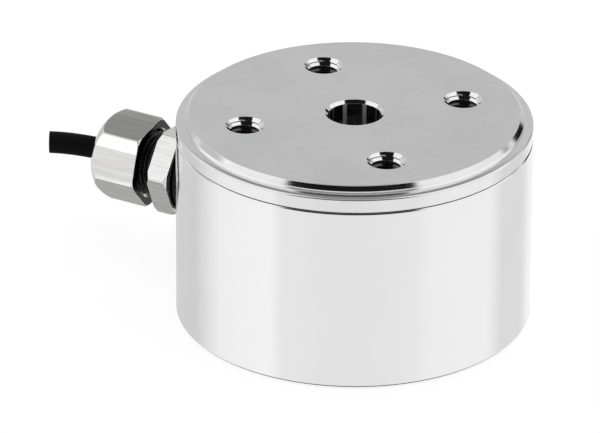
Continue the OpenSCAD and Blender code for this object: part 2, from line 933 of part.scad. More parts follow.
load_flange();
housing();
base_plate();
spring_element();
bore_sleeve();
hub_screws();
base_screws();
hub_dowels();
ring_dowels();
seal_ring();
base_o_ring();
gauges_top();
gauges_bottom();
gauges_side();
gauge_leads();
terminal_board();
board_standoffs();
board_screws();
amplifier_chips();
chip_leads();
board_connector();
cable_jacket();
cable_shield();
cable_cores();
core_strands();
gland_body();
gland_nut();
gland_seal();
gland_claw();
gland_gasket();
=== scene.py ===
"""Looks of a six-axis force and torque sensor with a centre bore and a side cable gland.

Sizes are in millimetres up to the point where a mesh is handed to Blender, which works in metres.
"""

import logging
import math
from dataclasses import dataclass
from enum import Enum, IntEnum
from typing import Optional, Sequence

import bmesh
import bpy
from bpy.types import Material, Mesh, Node, NodeSocket, NodeTree, Object
from mathutils import Matrix, Vector


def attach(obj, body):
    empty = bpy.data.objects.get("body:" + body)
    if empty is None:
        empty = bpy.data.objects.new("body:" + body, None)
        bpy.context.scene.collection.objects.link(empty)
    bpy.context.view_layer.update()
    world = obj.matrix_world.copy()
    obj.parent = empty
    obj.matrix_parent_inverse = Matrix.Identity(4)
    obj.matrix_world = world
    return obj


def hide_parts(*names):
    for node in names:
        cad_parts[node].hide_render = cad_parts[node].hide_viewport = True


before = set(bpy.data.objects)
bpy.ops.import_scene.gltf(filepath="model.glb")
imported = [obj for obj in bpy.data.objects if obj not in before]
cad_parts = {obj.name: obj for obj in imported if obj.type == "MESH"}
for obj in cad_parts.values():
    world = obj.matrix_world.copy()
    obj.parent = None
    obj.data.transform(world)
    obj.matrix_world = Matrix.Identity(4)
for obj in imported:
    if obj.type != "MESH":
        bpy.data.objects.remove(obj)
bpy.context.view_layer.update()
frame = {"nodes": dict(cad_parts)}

log = logging.getLogger("sensor")

MM = 0.001
WELD_MM = 0.0004
GLAND_Z = 17.4
CAMERA_TURN = math.radians(28.7)

Colour = tuple[float, float, float]
Point2 = tuple[float, float]
Inputs = dict[str | int, object]


class Way(Enum):
    """The direction in which a tool or a brush has run over a metal face."""

    TURNED = "turned around the body's axis"
    TURNED_GLAND = "turned around the gland's axis"
    DRAWN_GLAND = "drawn along the gland's axis"
    BLASTED = "no direction"


# ---- shader graphs ----


class Graph:
    """A material's or a world's node tree, with short calls for the nodes in use here."""

    def __init__(self, tree: NodeTree) -> None:
        """Takes over the tree and clears it."""
        self.tree = tree
        self.tree.nodes.clear()

    def add(self, kind: str, *values: object, inputs: Optional[Inputs] = None, **settings: object) -> Node:
        """Adds a node.

        Args:
            kind: Node type without the ShaderNode prefix.
            values: Nodes, output sockets or plain values for its first inputs, in their order.
            inputs: The same for other inputs, by name or number.
            settings: The node's own settings.

        Returns:
            The new node.
        """
        node = self.tree.nodes.new("ShaderNode" + kind)
        for key, value in settings.items():
            setattr(node, key, value)
        for socket, value in (dict(enumerate(values)) | (inputs or {})).items():
            target = node.inputs[socket]
            if isinstance(value, Node):
                value = value.outputs[0]
            if isinstance(value, NodeSocket):
                self.tree.links.new(value, target)
            else:
                target.default_value = (*value, 1.0) if target.type == "RGBA" else value
        return node

    def surface(self, inputs: Inputs) -> None:
        """Ends a material in a principled shader with the given inputs."""
        self.add("OutputMaterial", self.add("BsdfPrincipled", inputs=inputs))

    def math(self, operation: str, *values: object) -> NodeSocket:
        """Calculates with numbers or sockets, by an operation of the Math node."""
        return self.add("Math", *values, operation=operation).outputs[0]

    def times(self, first: object, second: object) -> NodeSocket:
        """Multiplies two numbers."""
        return self.math("MULTIPLY", first, second)

    def mean(self, first: object, second: object, share: float) -> NodeSocket:
        """Adds two numbers, the first with its share and the second with the rest."""
        return self.math("ADD", self.times(first, share), self.times(second, 1.0 - share))

    def length(self, first: object, second: object) -> NodeSocket:
        """Gives the length of a flat vector from its two components."""
        squares = self.math("POWER", first, 2.0), self.math("POWER", second, 2.0)
        return self.math("SQRT", self.math("ADD", *squares))

    def smooth(self, value: object, low: float, high: float) -> NodeSocket:
        """Gives a smooth step of the value, from 0 at low to 1 at high."""
        node = self.add("MapRange", value, low, high, 0.0, 1.0, interpolation_type="SMOOTHSTEP")
        return node.outputs[0]

    def contrast(self, value: object, half: float = 0.15) -> NodeSocket:
        """Spreads the middle of a noise, this far to each side of 0.5, over 0 to 1."""
        return self.smooth(value, 0.5 - half, 0.5 + half)

    def band(self, value: object, low: float, high: float, edge: float) -> NodeSocket:
        """Gives 1 between two limits and 0 outside them.

        Args:
            value: Input value.
            low: Lower limit.
            high: Upper limit.
            edge: Width of the soft edges, centred on the limits.

        Returns:
            The band's value.
        """
        rise = self.smooth(value, low - edge / 2, low + edge / 2)
        fall = self.smooth(value, high - edge / 2, high + edge / 2)
        return self.times(rise, self.math("SUBTRACT", 1.0, fall))

    def lerp(self, factor: object, first: object, second: object) -> NodeSocket:
        """Mixes two numbers, where the factor is the share of the second one."""
        return self.add("Mix", inputs={0: factor, 2: first, 3: second}, data_type="FLOAT").outputs[0]

    def blend(self, factor: object, first: object, second: object) -> NodeSocket:
        """Mixes two colours, where the factor is the share of the second one."""
        return self.add("Mix", inputs={0: factor, 6: first, 7: second}, data_type="RGBA").outputs[2]

    def noise(self, vector: object, size: float, detail: float = 2.0, rough: float = 0.5) -> NodeSocket:
        """Gives a noise value around 0.5.

        Args:
            vector: Where to sample, in metres.
            size: Length of its longest waves, in millimetres.
            detail: Octaves.
            rough: Share of each further octave.

        Returns:
            The noise value.
        """
        scale = 1.0 / (size * MM)
        inputs = {"Vector": vector, "Scale": scale, "Detail": detail, "Roughness": rough}
        return self.add("TexNoise", inputs=inputs).outputs[0]

    def ramp(
        self, value: object, stops: Sequence[tuple[float, Colour]], between: str = "LINEAR"
    ) -> NodeSocket:
        """Looks a colour up in a ramp.

        Args:
            value: Position in the ramp, 0 to 1.
            stops: Positions and their colours.
            between: Interpolation between the stops.

        Returns:
            The colour.
        """
        node = self.add("ValToRGB", value)
        node.color_ramp.interpolation = between
        items = node.color_ramp.elements
        while len(items) < len(stops):
            items.new(1.0)
        for item, (position, colour) in zip(items, stops):
            item.position = position
            item.color = (*colour, 1.0)
        return node.outputs[0]

    def place(self) -> NodeSocket:
        """Gives the surface point in metres, in the part's own frame."""
        return self.add("TexCoord").outputs["Object"]

    def parts(self, vector: object) -> list[NodeSocket]:
        """Gives the three components of a vector."""
        return list(self.add("SeparateXYZ", vector).outputs)

    def joined(self, x: object, y: object, z: object) -> NodeSocket:
        """Joins three numbers to a vector."""
        return self.add("CombineXYZ", x, y, z).outputs[0]

    def bump(self, height: object, depth: float, before: Optional[NodeSocket] = None) -> NodeSocket:
        """Tilts the normal by a height.

        Args:
            height: Height from 0 to 1.
            depth: What a height of 1 stands for, in millimetres.
            before: A normal that was tilted before, if any.

        Returns:
            The tilted normal.
        """
        inputs = {"Strength": 1.0, "Distance": depth * MM, "Height": height}
        if before is not None:
            inputs["Normal"] = before
        return self.add("Bump", inputs=inputs).outputs[0]


def new_material(name: str) -> tuple[Material, Graph]:
    """Starts a material.

    Args:
        name: The material's name.

    Returns:
        The material and its empty graph.
    """
    material = bpy.data.materials.new(name)
    material.use_nodes = True
    return material, Graph(material.node_tree)


# ---- finishes ----


@dataclass(frozen=True)
class MetalFinish:
    """Bare or plated metal with the marks that its tool left.

    Roughness swings by spread to both sides. Clouds lower the colour by tint, and the tool's lines by
    line_tint. Stretch is how much of its length a drawn line keeps in the noise. Each rub mark stands
    at an angle around the bore, in degrees from the X direction.
    """

    name: str
    colour: Colour
    roughness: float = 0.2
    spread: float = 0.06
    way: Way = Way.TURNED
    line_mm: float = 0.12
    line_depth: float = 0.0012
    grain_mm: float = 0.08
    grain_depth: float = 0.0006
    cloud_mm: float = 9.0
    tint: float = 0.04
    line_tint: float = 0.0
    stretch: float = 0.02
    rub_marks: tuple[float, ...] = ()
    rub_half_mm: float = 0.32
    rub_edge_mm: float = 0.4
    rub_roughness: float = 0.8

    def material(self) -> Material:
        """Builds the material."""
        material, graph = new_material(self.name)
        place = graph.place()
        lines = graph.noise(self.line_space(graph, place), self.line_mm, 3.0, 0.6)
        grain = graph.noise(place, self.grain_mm, 2.0, 0.55)
        cloud = graph.noise(place, self.cloud_mm, 3.0, 0.5)
        wear = graph.noise(place, self.cloud_mm * 0.12, 4.0, 0.6)
        clouds = graph.mean(cloud, wear, 0.7)
        dark = tuple(value * (1.0 - self.tint) for value in self.colour)
        colour = graph.blend(graph.contrast(clouds), dark, self.colour)
        if self.line_tint:
            share = graph.times(graph.contrast(lines), self.line_tint)
            colour = graph.blend(share, colour, (0.0, 0.0, 0.0))
        swing = graph.contrast(graph.mean(lines, clouds, 0.5), 0.2)
        rough = graph.lerp(swing, self.roughness - self.spread, self.roughness + self.spread)
        for mark in self.rub_marks:
            rough = graph.lerp(self.rub_mark(graph, place, mark), rough, self.rub_roughness)
        normal = graph.bump(grain, self.grain_depth)
        if self.way is not Way.BLASTED:
            normal = graph.bump(lines, self.line_depth, normal)
        graph.surface({"Base Color": colour, "Metallic": 1.0, "Roughness": rough, "Normal": normal})
        return material

    def rub_mark(self, graph: Graph, place: NodeSocket, degrees: float) -> NodeSocket:
        """Gives the dull mark that a locating pin has rubbed along the bore.

        Args:
            graph: Graph in which the nodes go.
            place: The surface point.
            degrees: Where the mark stands, from the X direction.

        Returns:
            1 in the mark and 0 outside it.
        """
        x, y, _ = graph.parts(place)
        cos, sin = math.cos(math.radians(degrees)), math.sin(math.radians(degrees))
        side = graph.math("ADD", graph.times(x, -sin), graph.times(y, cos))
        ahead = graph.math("ADD", graph.times(x, cos), graph.times(y, sin))
        half = self.rub_half_mm * MM
        band = graph.band(side, -half, half, self.rub_edge_mm * MM)
        return graph.times(band, graph.math("GREATER_THAN", ahead, 0.0))

    def line_space(self, graph: Graph, place: NodeSocket) -> NodeSocket:
        """Stretches space along the tool marks.

        Args:
            graph: Graph in which the nodes go.
            place: The surface point.

        Returns:
            A point that hardly changes along a mark.
        """
        x, y, z = graph.parts(place)
        if self.way is Way.DRAWN_GLAND:
            return graph.joined(graph.times(x, self.stretch), y, z)
        if self.way is Way.TURNED_GLAND:
            up = graph.math("SUBTRACT", z, GLAND_Z * MM)
            return graph.joined(x, graph.length(y, up), 0.0)
        if self.way is Way.TURNED:
            drift = graph.times(graph.math("ARCTAN2", y, x), 0.02 * MM)
            return graph.joined(graph.length(x, y), drift, z)
        return place


@dataclass(frozen=True)
class PlasticFinish:
    """Rubber, plastic, lacquer or insulation with a fine moulded grain.

    It varies between colour and second. With per_strand, each strand of a bundle has a colour of its own.
    """

    name: str
    colour: Colour
    second: Colour
    roughness: float = 0.5
    spread: float = 0.08
    specular: float = 0.5
    grain_mm: float = 0.15
    grain_depth: float = 0.004
    cloud_mm: float = 4.0
    per_strand: tuple[Colour, ...] = ()
    strand_soil: Colour = (0.02, 0.02, 0.02)

    def material(self) -> Material:
        """Builds the material."""
        material, graph = new_material(self.name)
        place = graph.place()
        grain = graph.noise(place, self.grain_mm, 3.0, 0.6)
        share = graph.contrast(graph.noise(place, self.cloud_mm, 3.0, 0.5))
        if self.per_strand:
            strand = graph.add("NewGeometry").outputs["Random Per Island"]
            count = len(self.per_strand)
            stops = [(index / count, colour) for index, colour in enumerate(self.per_strand)]
            clean = graph.ramp(strand, stops, "CONSTANT")
            colour = graph.blend(graph.times(share, 0.12), clean, self.strand_soil)
        else:
            colour = graph.blend(share, self.colour, self.second)
        graph.surface(
            {
                "Base Color": colour,
                "Roughness": graph.lerp(grain, self.roughness - self.spread, self.roughness + self.spread),
                "Specular IOR Level": self.specular,
                "Normal": graph.bump(grain, self.grain_depth),
            }
        )
        return material


@dataclass(frozen=True)
class BraidFinish:
    """The woven copper screen of the cable, darker in the gaps between its strands as painted shade."""

    name: str
    colour: Colour = (0.80, 0.62, 0.48)
    gap_shade: float = 0.35
    pick_mm: float = 0.32
    radius_mm: float = 1.34

    def material(self) -> Material:
        """Builds the material."""
        material, graph = new_material(self.name)
        x, y, z = graph.parts(graph.place())
        up = graph.math("SUBTRACT", z, GLAND_Z * MM)
        turn = graph.times(graph.math("ARCTAN2", y, up), self.radius_mm * MM)
        scale = math.tau / (self.pick_mm * MM)
        hands = [graph.times(graph.math(way, x, turn), scale) for way in ("ADD", "SUBTRACT")]
        weave = graph.math("MAXIMUM", *(graph.math("SINE", hand) for hand in hands))
        share = graph.smooth(weave, -0.2, 0.9)
        graph.surface(
            {
                # Darker copper between the strands: painted shade.
                "Base Color": graph.blend(share, tuple(v * self.gap_shade for v in self.colour), self.colour),
                "Metallic": 1.0,
                "Roughness": graph.lerp(share, 0.5, 0.28),
                "Normal": graph.bump(share, 0.06),
            }
        )
        return material


@dataclass(frozen=True)
class BoardFinish:
    """Lacquered board with copper tracks under the lacquer, in rings and in rays."""

    name: str
    lacquer: Colour = (0.006, 0.075, 0.030)
    track: Colour = (0.016, 0.150, 0.055)
    pitch_mm: float = 1.1
    rays: float = 9.0
    patch_mm: float = 1000 / 220
    gloss_mm: float = 1000 / 900

    def material(self) -> Material:
        """Builds the material."""
        material, graph = new_material(self.name)
        place = graph.place()
        x, y, _ = graph.parts(place)
        rings = graph.math("FRACT", graph.math("DIVIDE", graph.length(x, y), self.pitch_mm * MM))
        rays = graph.math("FRACT", graph.times(graph.math("ARCTAN2", y, x), self.rays))
        patch = graph.contrast(graph.noise(place, self.patch_mm, 1.0), 0.05)
        line = graph.lerp(patch, graph.band(rings, 0.3, 0.6, 0.06), graph.band(rays, 0.35, 0.6, 0.06))
        graph.surface(
            {
                "Base Color": graph.blend(line, self.lacquer, self.track),
                "Roughness": graph.lerp(graph.noise(place, self.gloss_mm), 0.25, 0.42),
                "Normal": graph.bump(line, 0.03),
            }
        )
        return material


@dataclass(frozen=True)
class GaugeFinish:
    """Foil gauge: a metal grid on an amber film."""

    name: str
    film: Colour = (0.52, 0.25, 0.05)
    foil: Colour = (0.42, 0.30, 0.20)
    pitch_mm: float = 0.4

    def material(self) -> Material:
        """Builds the material."""
        material, graph = new_material(self.name)
        place = graph.place()
        x, y, z = graph.parts(place)
        across = graph.math("ADD", graph.math("ADD", x, y), z)
        turns = graph.math("FRACT", graph.math("DIVIDE", across, self.pitch_mm * MM))
        grid = graph.band(turns, 0.25, 0.75, 0.08)
        graph.surface(
            {
                "Base Color": graph.blend(grid, self.film, self.foil),
                "Metallic": graph.times(grid, 0.8),
                "Roughness": graph.lerp(graph.noise(place, self.pitch_mm), 0.28, 0.45),
                "Normal": graph.bump(grid, 0.02),
            }
        )
        return material


# ---- mesh building ----


@dataclass(frozen=True)
class Corner:
    """One corner of a turned section: radius, height along the axis, fillet and finish of what follows."""

    r: float
    z: float
    fillet: float = 0.0
    zone: int = 0


class MeshBuilder:
    """Collects surfaces in millimetres and makes one Blender object of them."""

    def __init__(self, place: Optional[Matrix] = None) -> None:
        """Starts an empty mesh, in a frame of its own that lies at place in the part's frame."""
        self.bm = bmesh.new()
        self.place = place or Matrix.Identity(4)

    def grid(
        self, rows: Sequence[Sequence[Vector]], zones: Sequence[int | Sequence[int]], closed: bool = True
    ) -> None:
        """Adds a skin over rows of points.

        Args:
            rows: Rows with the same number of points.
            zones: Finish of each strip between two rows, or the finishes of its faces.
            closed: Whether each row's end joins its start.
        """
        made = [[self.bm.verts.new(self.place @ point) for point in row] for row in rows]
        count = len(rows[0])
        for low, high, zone in zip(made, made[1:], zones):
            for column in range(count if closed else count - 1):
                after = (column + 1) % count
                face = self.bm.faces.new((low[column], low[after], high[after], high[column]))
                face.material_index = zone if isinstance(zone, int) else zone[column]
                face.smooth = True

    def turned(self, corners: Sequence[Corner], steps: int, centre: Point2 = (0.0, 0.0)) -> None:
        """Adds a section turned around the Z direction, in so many steps, about an axis at centre."""
        points, zones = section(corners)
        self.grid([ring(radius, height, steps, centre) for radius, height in points], zones)

    def flat(self, loops: Sequence[Sequence[Vector]], zone: int = 0) -> None:
        """Fills a flat face with holes in it.

        Args:
            loops: The outer outline and the outlines of the holes.
            zone: Finish of the face.
        """
        edges = []
        for loop in loops:
            verts = [self.bm.verts.new(self.place @ point) for point in loop]
            edges += [self.bm.edges.new(pair) for pair in zip(verts, verts[1:] + verts[:1])]
        made = bmesh.ops.triangle_fill(self.bm, use_beauty=True, edges=edges)
        for item in made["geom"]:
            if isinstance(item, bmesh.types.BMFace):
                item.material_index = zone
                item.smooth = True

    def tapped(
        self, hole: "TappedHole", centre: Point2, top: float, down: bool, zone: int, deep_shade: int
    ) -> list[Vector]:
        """Adds the wall of a tapped hole, with its countersink and its flat bottom.

        Args:
            hole: Sizes of the hole.
            centre: Where its axis stands.
            top: Height of the face that it opens in.
            down: Whether it goes down from that face.
            zone: Finish of the hole near its mouth.
            deep_shade: Finish of the hole further in and of its inward flanks; in the flange a nearly black
                one that paints the hole's shade.

        Returns:
            The outline of its mouth, for the face around it.
        """
        sign = 1.0 if down else -1.0
        end = hole.depth - hole.blind
        rows = []
        for i in range((math.ceil(end / hole.pitch) + 1) * hole.per_pitch + 1):
            turns = i / hole.per_pitch
            row = []
            for j in range(hole.columns + 1):
                share = j / hole.columns
                raw = (turns + share - 1.0) * hole.pitch
                height = min(max(raw, 0.0), end)
                groove = hole.thread_depth(turns % 1.0) * min(1.0, height / hole.pitch)
                radius = hole.minor + (0.0 if raw <= 0.0 else groove)
                below = end - height
                radius = hole.sink if raw >= end else max(radius, hole.sink - below)
                row.append(polar(radius, share * math.tau, top - sign * below, centre))
            rows.append(row)
        # Faces deep in the hole and its inward flanks take deep_shade, which paints the hole's shade.
        zones = [
            [hole.zone(end, i, j, zone, deep_shade) for j in range(hole.columns)] for i in range(len(rows) - 1)
        ]
        self.grid(rows, zones, closed=False)
        bottom = top - sign * hole.depth
        # The bottom takes deep_shade too: painted shade.
        floor = [Corner(0.0, bottom, 0, deep_shade), Corner(hole.minor, bottom, 0, deep_shade)]
        self.turned([*floor, Corner(hole.minor, top - sign * end)], hole.columns, centre)
        return ring(hole.sink, top, hole.columns, centre)

    def weld(self, clean: bool = False) -> None:
        """Joins points that coincide and turns the faces outwards.

        Args:
            clean: Whether faces without an area are taken out too.
        """
        bmesh.ops.remove_doubles(self.bm, verts=self.bm.verts, dist=WELD_MM)
        if clean:
            bmesh.ops.dissolve_degenerate(self.bm, edges=self.bm.edges, dist=WELD_MM / 2)
        bmesh.ops.recalc_face_normals(self.bm, faces=self.bm.faces)

    def finish(
        self,
        name: str,
        slot: str,
        finishes: Sequence[Material],
        replaces: Sequence[str],
        sharp: float = 28.0,
    ) -> Object:
        """Makes the object and hangs it on the part.

        Args:
            name: The piece's name.
            slot: Name of a material slot; not used.
            finishes: Materials in the order of the zones.
            replaces: CAD nodes that the piece stands for.
            sharp: Angle in degrees from which an edge is sharp.

        Returns:
            The new object.
        """
        self.weld(clean=True)
        bmesh.ops.scale(self.bm, vec=(MM, MM, MM), verts=self.bm.verts)
        mesh = bpy.data.meshes.new(name)
        self.bm.to_mesh(mesh)
        self.bm.free()
        for material in finishes:
            mesh.materials.append(material)
        mesh.set_sharp_from_angle(angle=math.radians(sharp))
        piece = bpy.data.objects.new(name, mesh)
        bpy.context.scene.collection.objects.link(piece)
        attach(piece, "root")
        if replaces:
            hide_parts(*replaces)
        log.info("%s: %d faces", name, len(mesh.polygons))
        return piece


def spoke(radius: float, angle: float) -> Point2:
    """Gives a flat point from its radius and its angle."""
    return radius * math.cos(angle), radius * math.sin(angle)


def polar(radius: float, angle: float, height: float, centre: Point2 = (0.0, 0.0)) -> Vector:
    """Gives a point from its radius, angle and height around a centre."""
    x, y = spoke(radius, angle)
    return Vector((centre[0] + x, centre[1] + y, height))


def ring(radius: float, height: float, steps: int, centre: Point2 = (0.0, 0.0)) -> list[Vector]:
    """Gives the points of a circle, counter-clockwise from the X direction."""
    return [polar(radius, math.tau * i / steps, height, centre) for i in range(steps)]


def pitch_circle(radius: float, count: int) -> list[Point2]:
    """Gives places spread over a circle, the first half a step from the X direction."""
    return [spoke(radius, math.radians(360 / count * (index + 0.5))) for index in range(count)]


def section(corners: Sequence[Corner], support: float = 0.05) -> tuple[list[Point2], list[int]]:
    """Rounds a section's corners and sets extra points beside them, so that flat faces shade flat.

    Args:
        corners: Corners of the section.
        support: Distance of the extra points.

    Returns:
        The points, and the finish of each stretch between two of them.
    """
    points: list[Point2] = []
    zones: list[int] = []

    def add(point: Vector, zone: int) -> None:
        """Adds a point and the finish of the stretch after it.

        Args:
            point: Radius and height.
            zone: The finish, which also goes to the point before where both coincide.
        """
        if points and (Vector(points[-1]) - point).length < 1e-4:
            zones[-1] = zone
            return
        points.append((point.x, point.y))
        zones.append(zone)

    def beside(here: Vector, other: Vector, cut: float = 0.0) -> Vector:
        """Gives the extra point beside a corner or the end of its fillet, towards another corner."""
        way = other - here
        return here + way.normalized() * (cut + min(support, way.length * 0.3))

    spots = [Vector((corner.r, corner.z)) for corner in corners]
    for index, (corner, here) in enumerate(zip(corners, spots)):
        before = spots[index - 1] if index else None
        after = spots[index + 1] if index + 1 < len(spots) else None
        last = corners[index - 1].zone if index else corner.zone
        if before is None or after is None or corner.fillet <= 0.0:
            if before is not None:
                add(beside(here, before), last)
            add(here, corner.zone)
            if after is not None:
                add(beside(here, after), corner.zone)
            continue
        back, ahead = (before - here).normalized(), (after - here).normalized()
        half = back.angle(ahead) / 2
        cut = corner.fillet / math.tan(half)
        middle = here + (back + ahead).normalized() * (corner.fillet / math.sin(half))
        add(beside(here, before, cut), last)
        start, end = here + back * cut - middle, here + ahead * cut - middle
        turn = start.angle_signed(end)
        count = max(3, math.ceil(abs(turn) / math.radians(15)))
        for step in range(count + 1):
            angle = -turn * step / count
            cos, sin = math.cos(angle), math.sin(angle)
            add(middle + Vector((start.x * cos - start.y * sin, start.x * sin + start.y * cos)), corner.zone)
        add(beside(here, after, cut), corner.zone)
    return points, zones[:-1]


@dataclass(frozen=True)
class TappedHole:
    """A blind tapped hole. Crest is the flat share of the thread, bright how deep the cut keeps its plain
    finish before a dark finish paints the hole's shade.
    """

    minor: float = 2.5
    major: float = 2.92
    pitch: float = 1.0
    sink: float = 3.3
    depth: float = 6.5
    blind: float = 0.9
    crest: float = 0.1
    bright: float = 1.5
    columns: int = 72
    per_pitch: int = 10

    def thread_depth(self, phase: float) -> float:
        """Gives the groove's depth at one place across a turn of the thread.

        Args:
            phase: The place as a share of the pitch.

        Returns:
            The depth.
        """
        full = self.major - self.minor
        rise = (phase - self.crest) / (0.5 - self.crest)
        fall = (1.0 - phase) / (0.5 - self.crest)
        return full * max(0.0, min(1.0, rise, fall))

    def zone(self, end: float, row: int, column: int, bright: int, deep_shade: int) -> int:
        """Chooses the finish of one face of the hole.

        Args:
            end: Depth of the threaded part.
            row: Number of the face's row.
            column: Number of the face around the hole.
            bright: Finish of the countersink and of the flanks near the mouth.
            deep_shade: Finish of the flanks that face inwards, and of all that is further in, where it
                paints the hole's shade.

        Returns:
            The face's finish.
        """
        turns = (row + 0.5) / self.per_pitch
        phase = turns % 1.0
        below = end - (turns + (column + 0.5) / self.columns - 1.0) * self.pitch
        if below < self.sink - self.minor - self.thread_depth(phase):
            return bright
        # Inward flanks and all deeper than bright take deep_shade: painted shade.
        return deep_shade if phase > 0.5 or below > self.bright else bright


@dataclass(frozen=True)
class Hexagon:
    """A hexagon with slightly rounded corners, around the builder's Z axis.

    Each flat may fall away in a strip before its last corner. Fold_gap and fold_soft are shares of the
    flat's length: how near other points may come to the fold, and how far the fold is softened.
    """

    across: float = 14.0
    turn: float = 0.0
    corner: float = 0.25
    strip: float = 0.0
    strip_turn: float = 4.5
    fold_gap: float = 0.03
    fold_soft: float = 0.012
    per_flat: int = 14
    per_corner: int = 4

    def outline(self) -> list[Point2]:
        """Gives the outline as angles and radii, counter-clockwise."""
        half = math.radians(30)
        slope = math.tan(math.radians(self.strip_turn))
        out = (self.across / 2 - self.corner) / math.cos(half)
        result = []
        for side in range(6):
            angle, following = (math.radians(self.turn + 60.0 * (side + step)) for step in (0, 1))
            centre = Vector(spoke(out, angle)) - Vector(spoke(self.strip * slope, angle - half))
            for step in range(self.per_corner + 1):
                swing = angle + math.radians(-30 + 60 * step / self.per_corner)
                result.append(centre + Vector(spoke(self.corner, swing)))
            lift = Vector(spoke(self.corner, angle + half))
            first, last = (Vector(spoke(out, at)) + lift for at in (angle, following))
            length = (last - first).length
            places = [step / self.per_flat for step in range(1, self.per_flat)]
            if self.strip:
                fold = 1.0 - self.strip / length
                places = [place for place in places if abs(place - fold) > self.fold_gap]
                places = sorted(places + [fold - self.fold_soft, fold, fold + self.fold_soft])
            for place in places:
                past = max(0.0, place * length - (length - self.strip)) if self.strip else 0.0
                result.append(first.lerp(last, place) - Vector(spoke(past * slope, angle + half)))
        return [(math.atan2(point.y, point.x), point.length) for point in result]


# ---- the body ----


class FlangeZone(IntEnum):
    """Finishes of the load flange, in their order."""

    FACE = 0
    SIDE = 1
    BORE = 2
    MOUTH = 3
    # Nearly black finish deep in the tapped holes: painted shade.
    DEEP = 4


class HousingZone(IntEnum):
    """Finishes of the housing, in their order."""

    OUTSIDE = 0
    INSIDE = 1


class PlateZone(IntEnum):
    """Finishes of the base plate, in their order."""

    FACE = 0
    SIDE = 1
    HOLE = 2


@dataclass
class LoadFlange:
    """The moving top of the sensor: rim, raised tool face, tapped holes and the spigot in the housing."""

    rim_r: float = 30.0
    rim_z: float = 32.65
    lip_z: float = 32.3
    lip_w: float = 1.6
    rim_top: float = 35.0
    ledge_fall: float = 0.1
    roll_w: float = 0.8
    roll_h: float = 0.38
    roll_degrees: float = 62.0
    roll_steps: int = 12
    face_fillet: float = 0.22
    face_chamfer: float = 0.75
    face_r: float = 28.5
    face_flat: float = 1.4
    top: float = 36.3
    spigot_r: float = 25.6
    spigot_z: float = 29.02
    spigot_flat: float = 4.0
    bore_r: float = 4.5
    bore_chamfer: float = 0.5
    bore_land: float = 1.0
    bore_steps: int = 96
    chamfer: float = 0.4
    pitch_r: float = 19.0
    screw_r: float = 9.1
    steps: int = 256
    hole: TappedHole = TappedHole()
    screw_hole: TappedHole = TappedHole(
        minor=1.28, major=1.52, pitch=0.5, sink=1.55, depth=4.5, blind=0.5, columns=32, per_pitch=6
    )

    def rolled_edge(self) -> list[Corner]:
        """Gives the soft edge between the rim's side and the ledge."""
        result = []
        for step in range(self.roll_steps + 1):
            angle = math.radians(self.roll_degrees) * step / self.roll_steps
            r = self.rim_r - self.roll_w * (1.0 - math.cos(angle))
            z = self.rim_top - self.ledge_fall - self.roll_h * (1.0 - math.sin(angle))
            result.append(Corner(r, z, 0.0, FlangeZone.SIDE))
        return result

    def build(self, finishes: Sequence[Material]) -> Object:
        """Builds the flange.

        Args:
            finishes: Finishes of the tool face, of the turned sides and ledge, of the centre bore, of the
            tapped holes near their mouths with every chamfer around a hole, and of the holes further in,
            which is nearly black as painted shade.

        Returns:
            The flange.
        """
        mesh = MeshBuilder()
        c, e = self.chamfer, self.face_chamfer
        face, side, bore, mouth, deep_shade = FlangeZone
        flat_r, land_r = self.face_r - self.face_flat, self.bore_r + self.bore_land
        inner_r = self.spigot_r - self.spigot_flat
        mesh.turned(
            [
                Corner(inner_r, self.spigot_z, 0, side),
                Corner(self.spigot_r, self.spigot_z, 0.2, side),
                Corner(self.spigot_r, self.rim_z, 0, side),
                Corner(self.rim_r - self.lip_w, self.rim_z, 0, side),
                Corner(self.rim_r - self.lip_w, self.lip_z, 0.03, side),
                Corner(self.rim_r - c / 2, self.lip_z, 0.03, side),
                Corner(self.rim_r, self.lip_z + c / 2, 0.05, side),
                *self.rolled_edge(),
                Corner(self.face_r, self.rim_top, 0.06, side),
                Corner(self.face_r, self.top - e, 0.1, side),
                Corner(self.face_r - e, self.top, self.face_fillet, face),
                Corner(flat_r, self.top),
            ],
            self.steps,
        )
        mesh.turned(
            [
                Corner(land_r, self.top, 0, face),
                Corner(self.bore_r + self.bore_chamfer, self.top, 0.03, mouth),
                Corner(self.bore_r, self.top - self.bore_chamfer, 0.04, bore),
                Corner(self.bore_r, self.spigot_z, 0.05, side),
                Corner(land_r, self.spigot_z),
            ],
            self.bore_steps,
        )
        high = [ring(flat_r, self.top, self.steps), ring(land_r, self.top, self.bore_steps)]
        low = [ring(inner_r, self.spigot_z, self.steps), ring(land_r, self.spigot_z, self.bore_steps)]
        # Inside each hole the deep_shade finish paints its shade.
        for hole, screw in zip(pitch_circle(self.pitch_r, 4), pitch_circle(self.screw_r, 4)):
            high.append(mesh.tapped(self.hole, hole, self.top, True, mouth, deep_shade))
            low.append(mesh.tapped(self.screw_hole, screw, self.spigot_z, False, bore, deep_shade))
        mesh.flat(high, face)
        mesh.flat(low, side)
        return mesh.finish("load_flange_turned", "flange_aluminium", finishes, ["load_flange"])


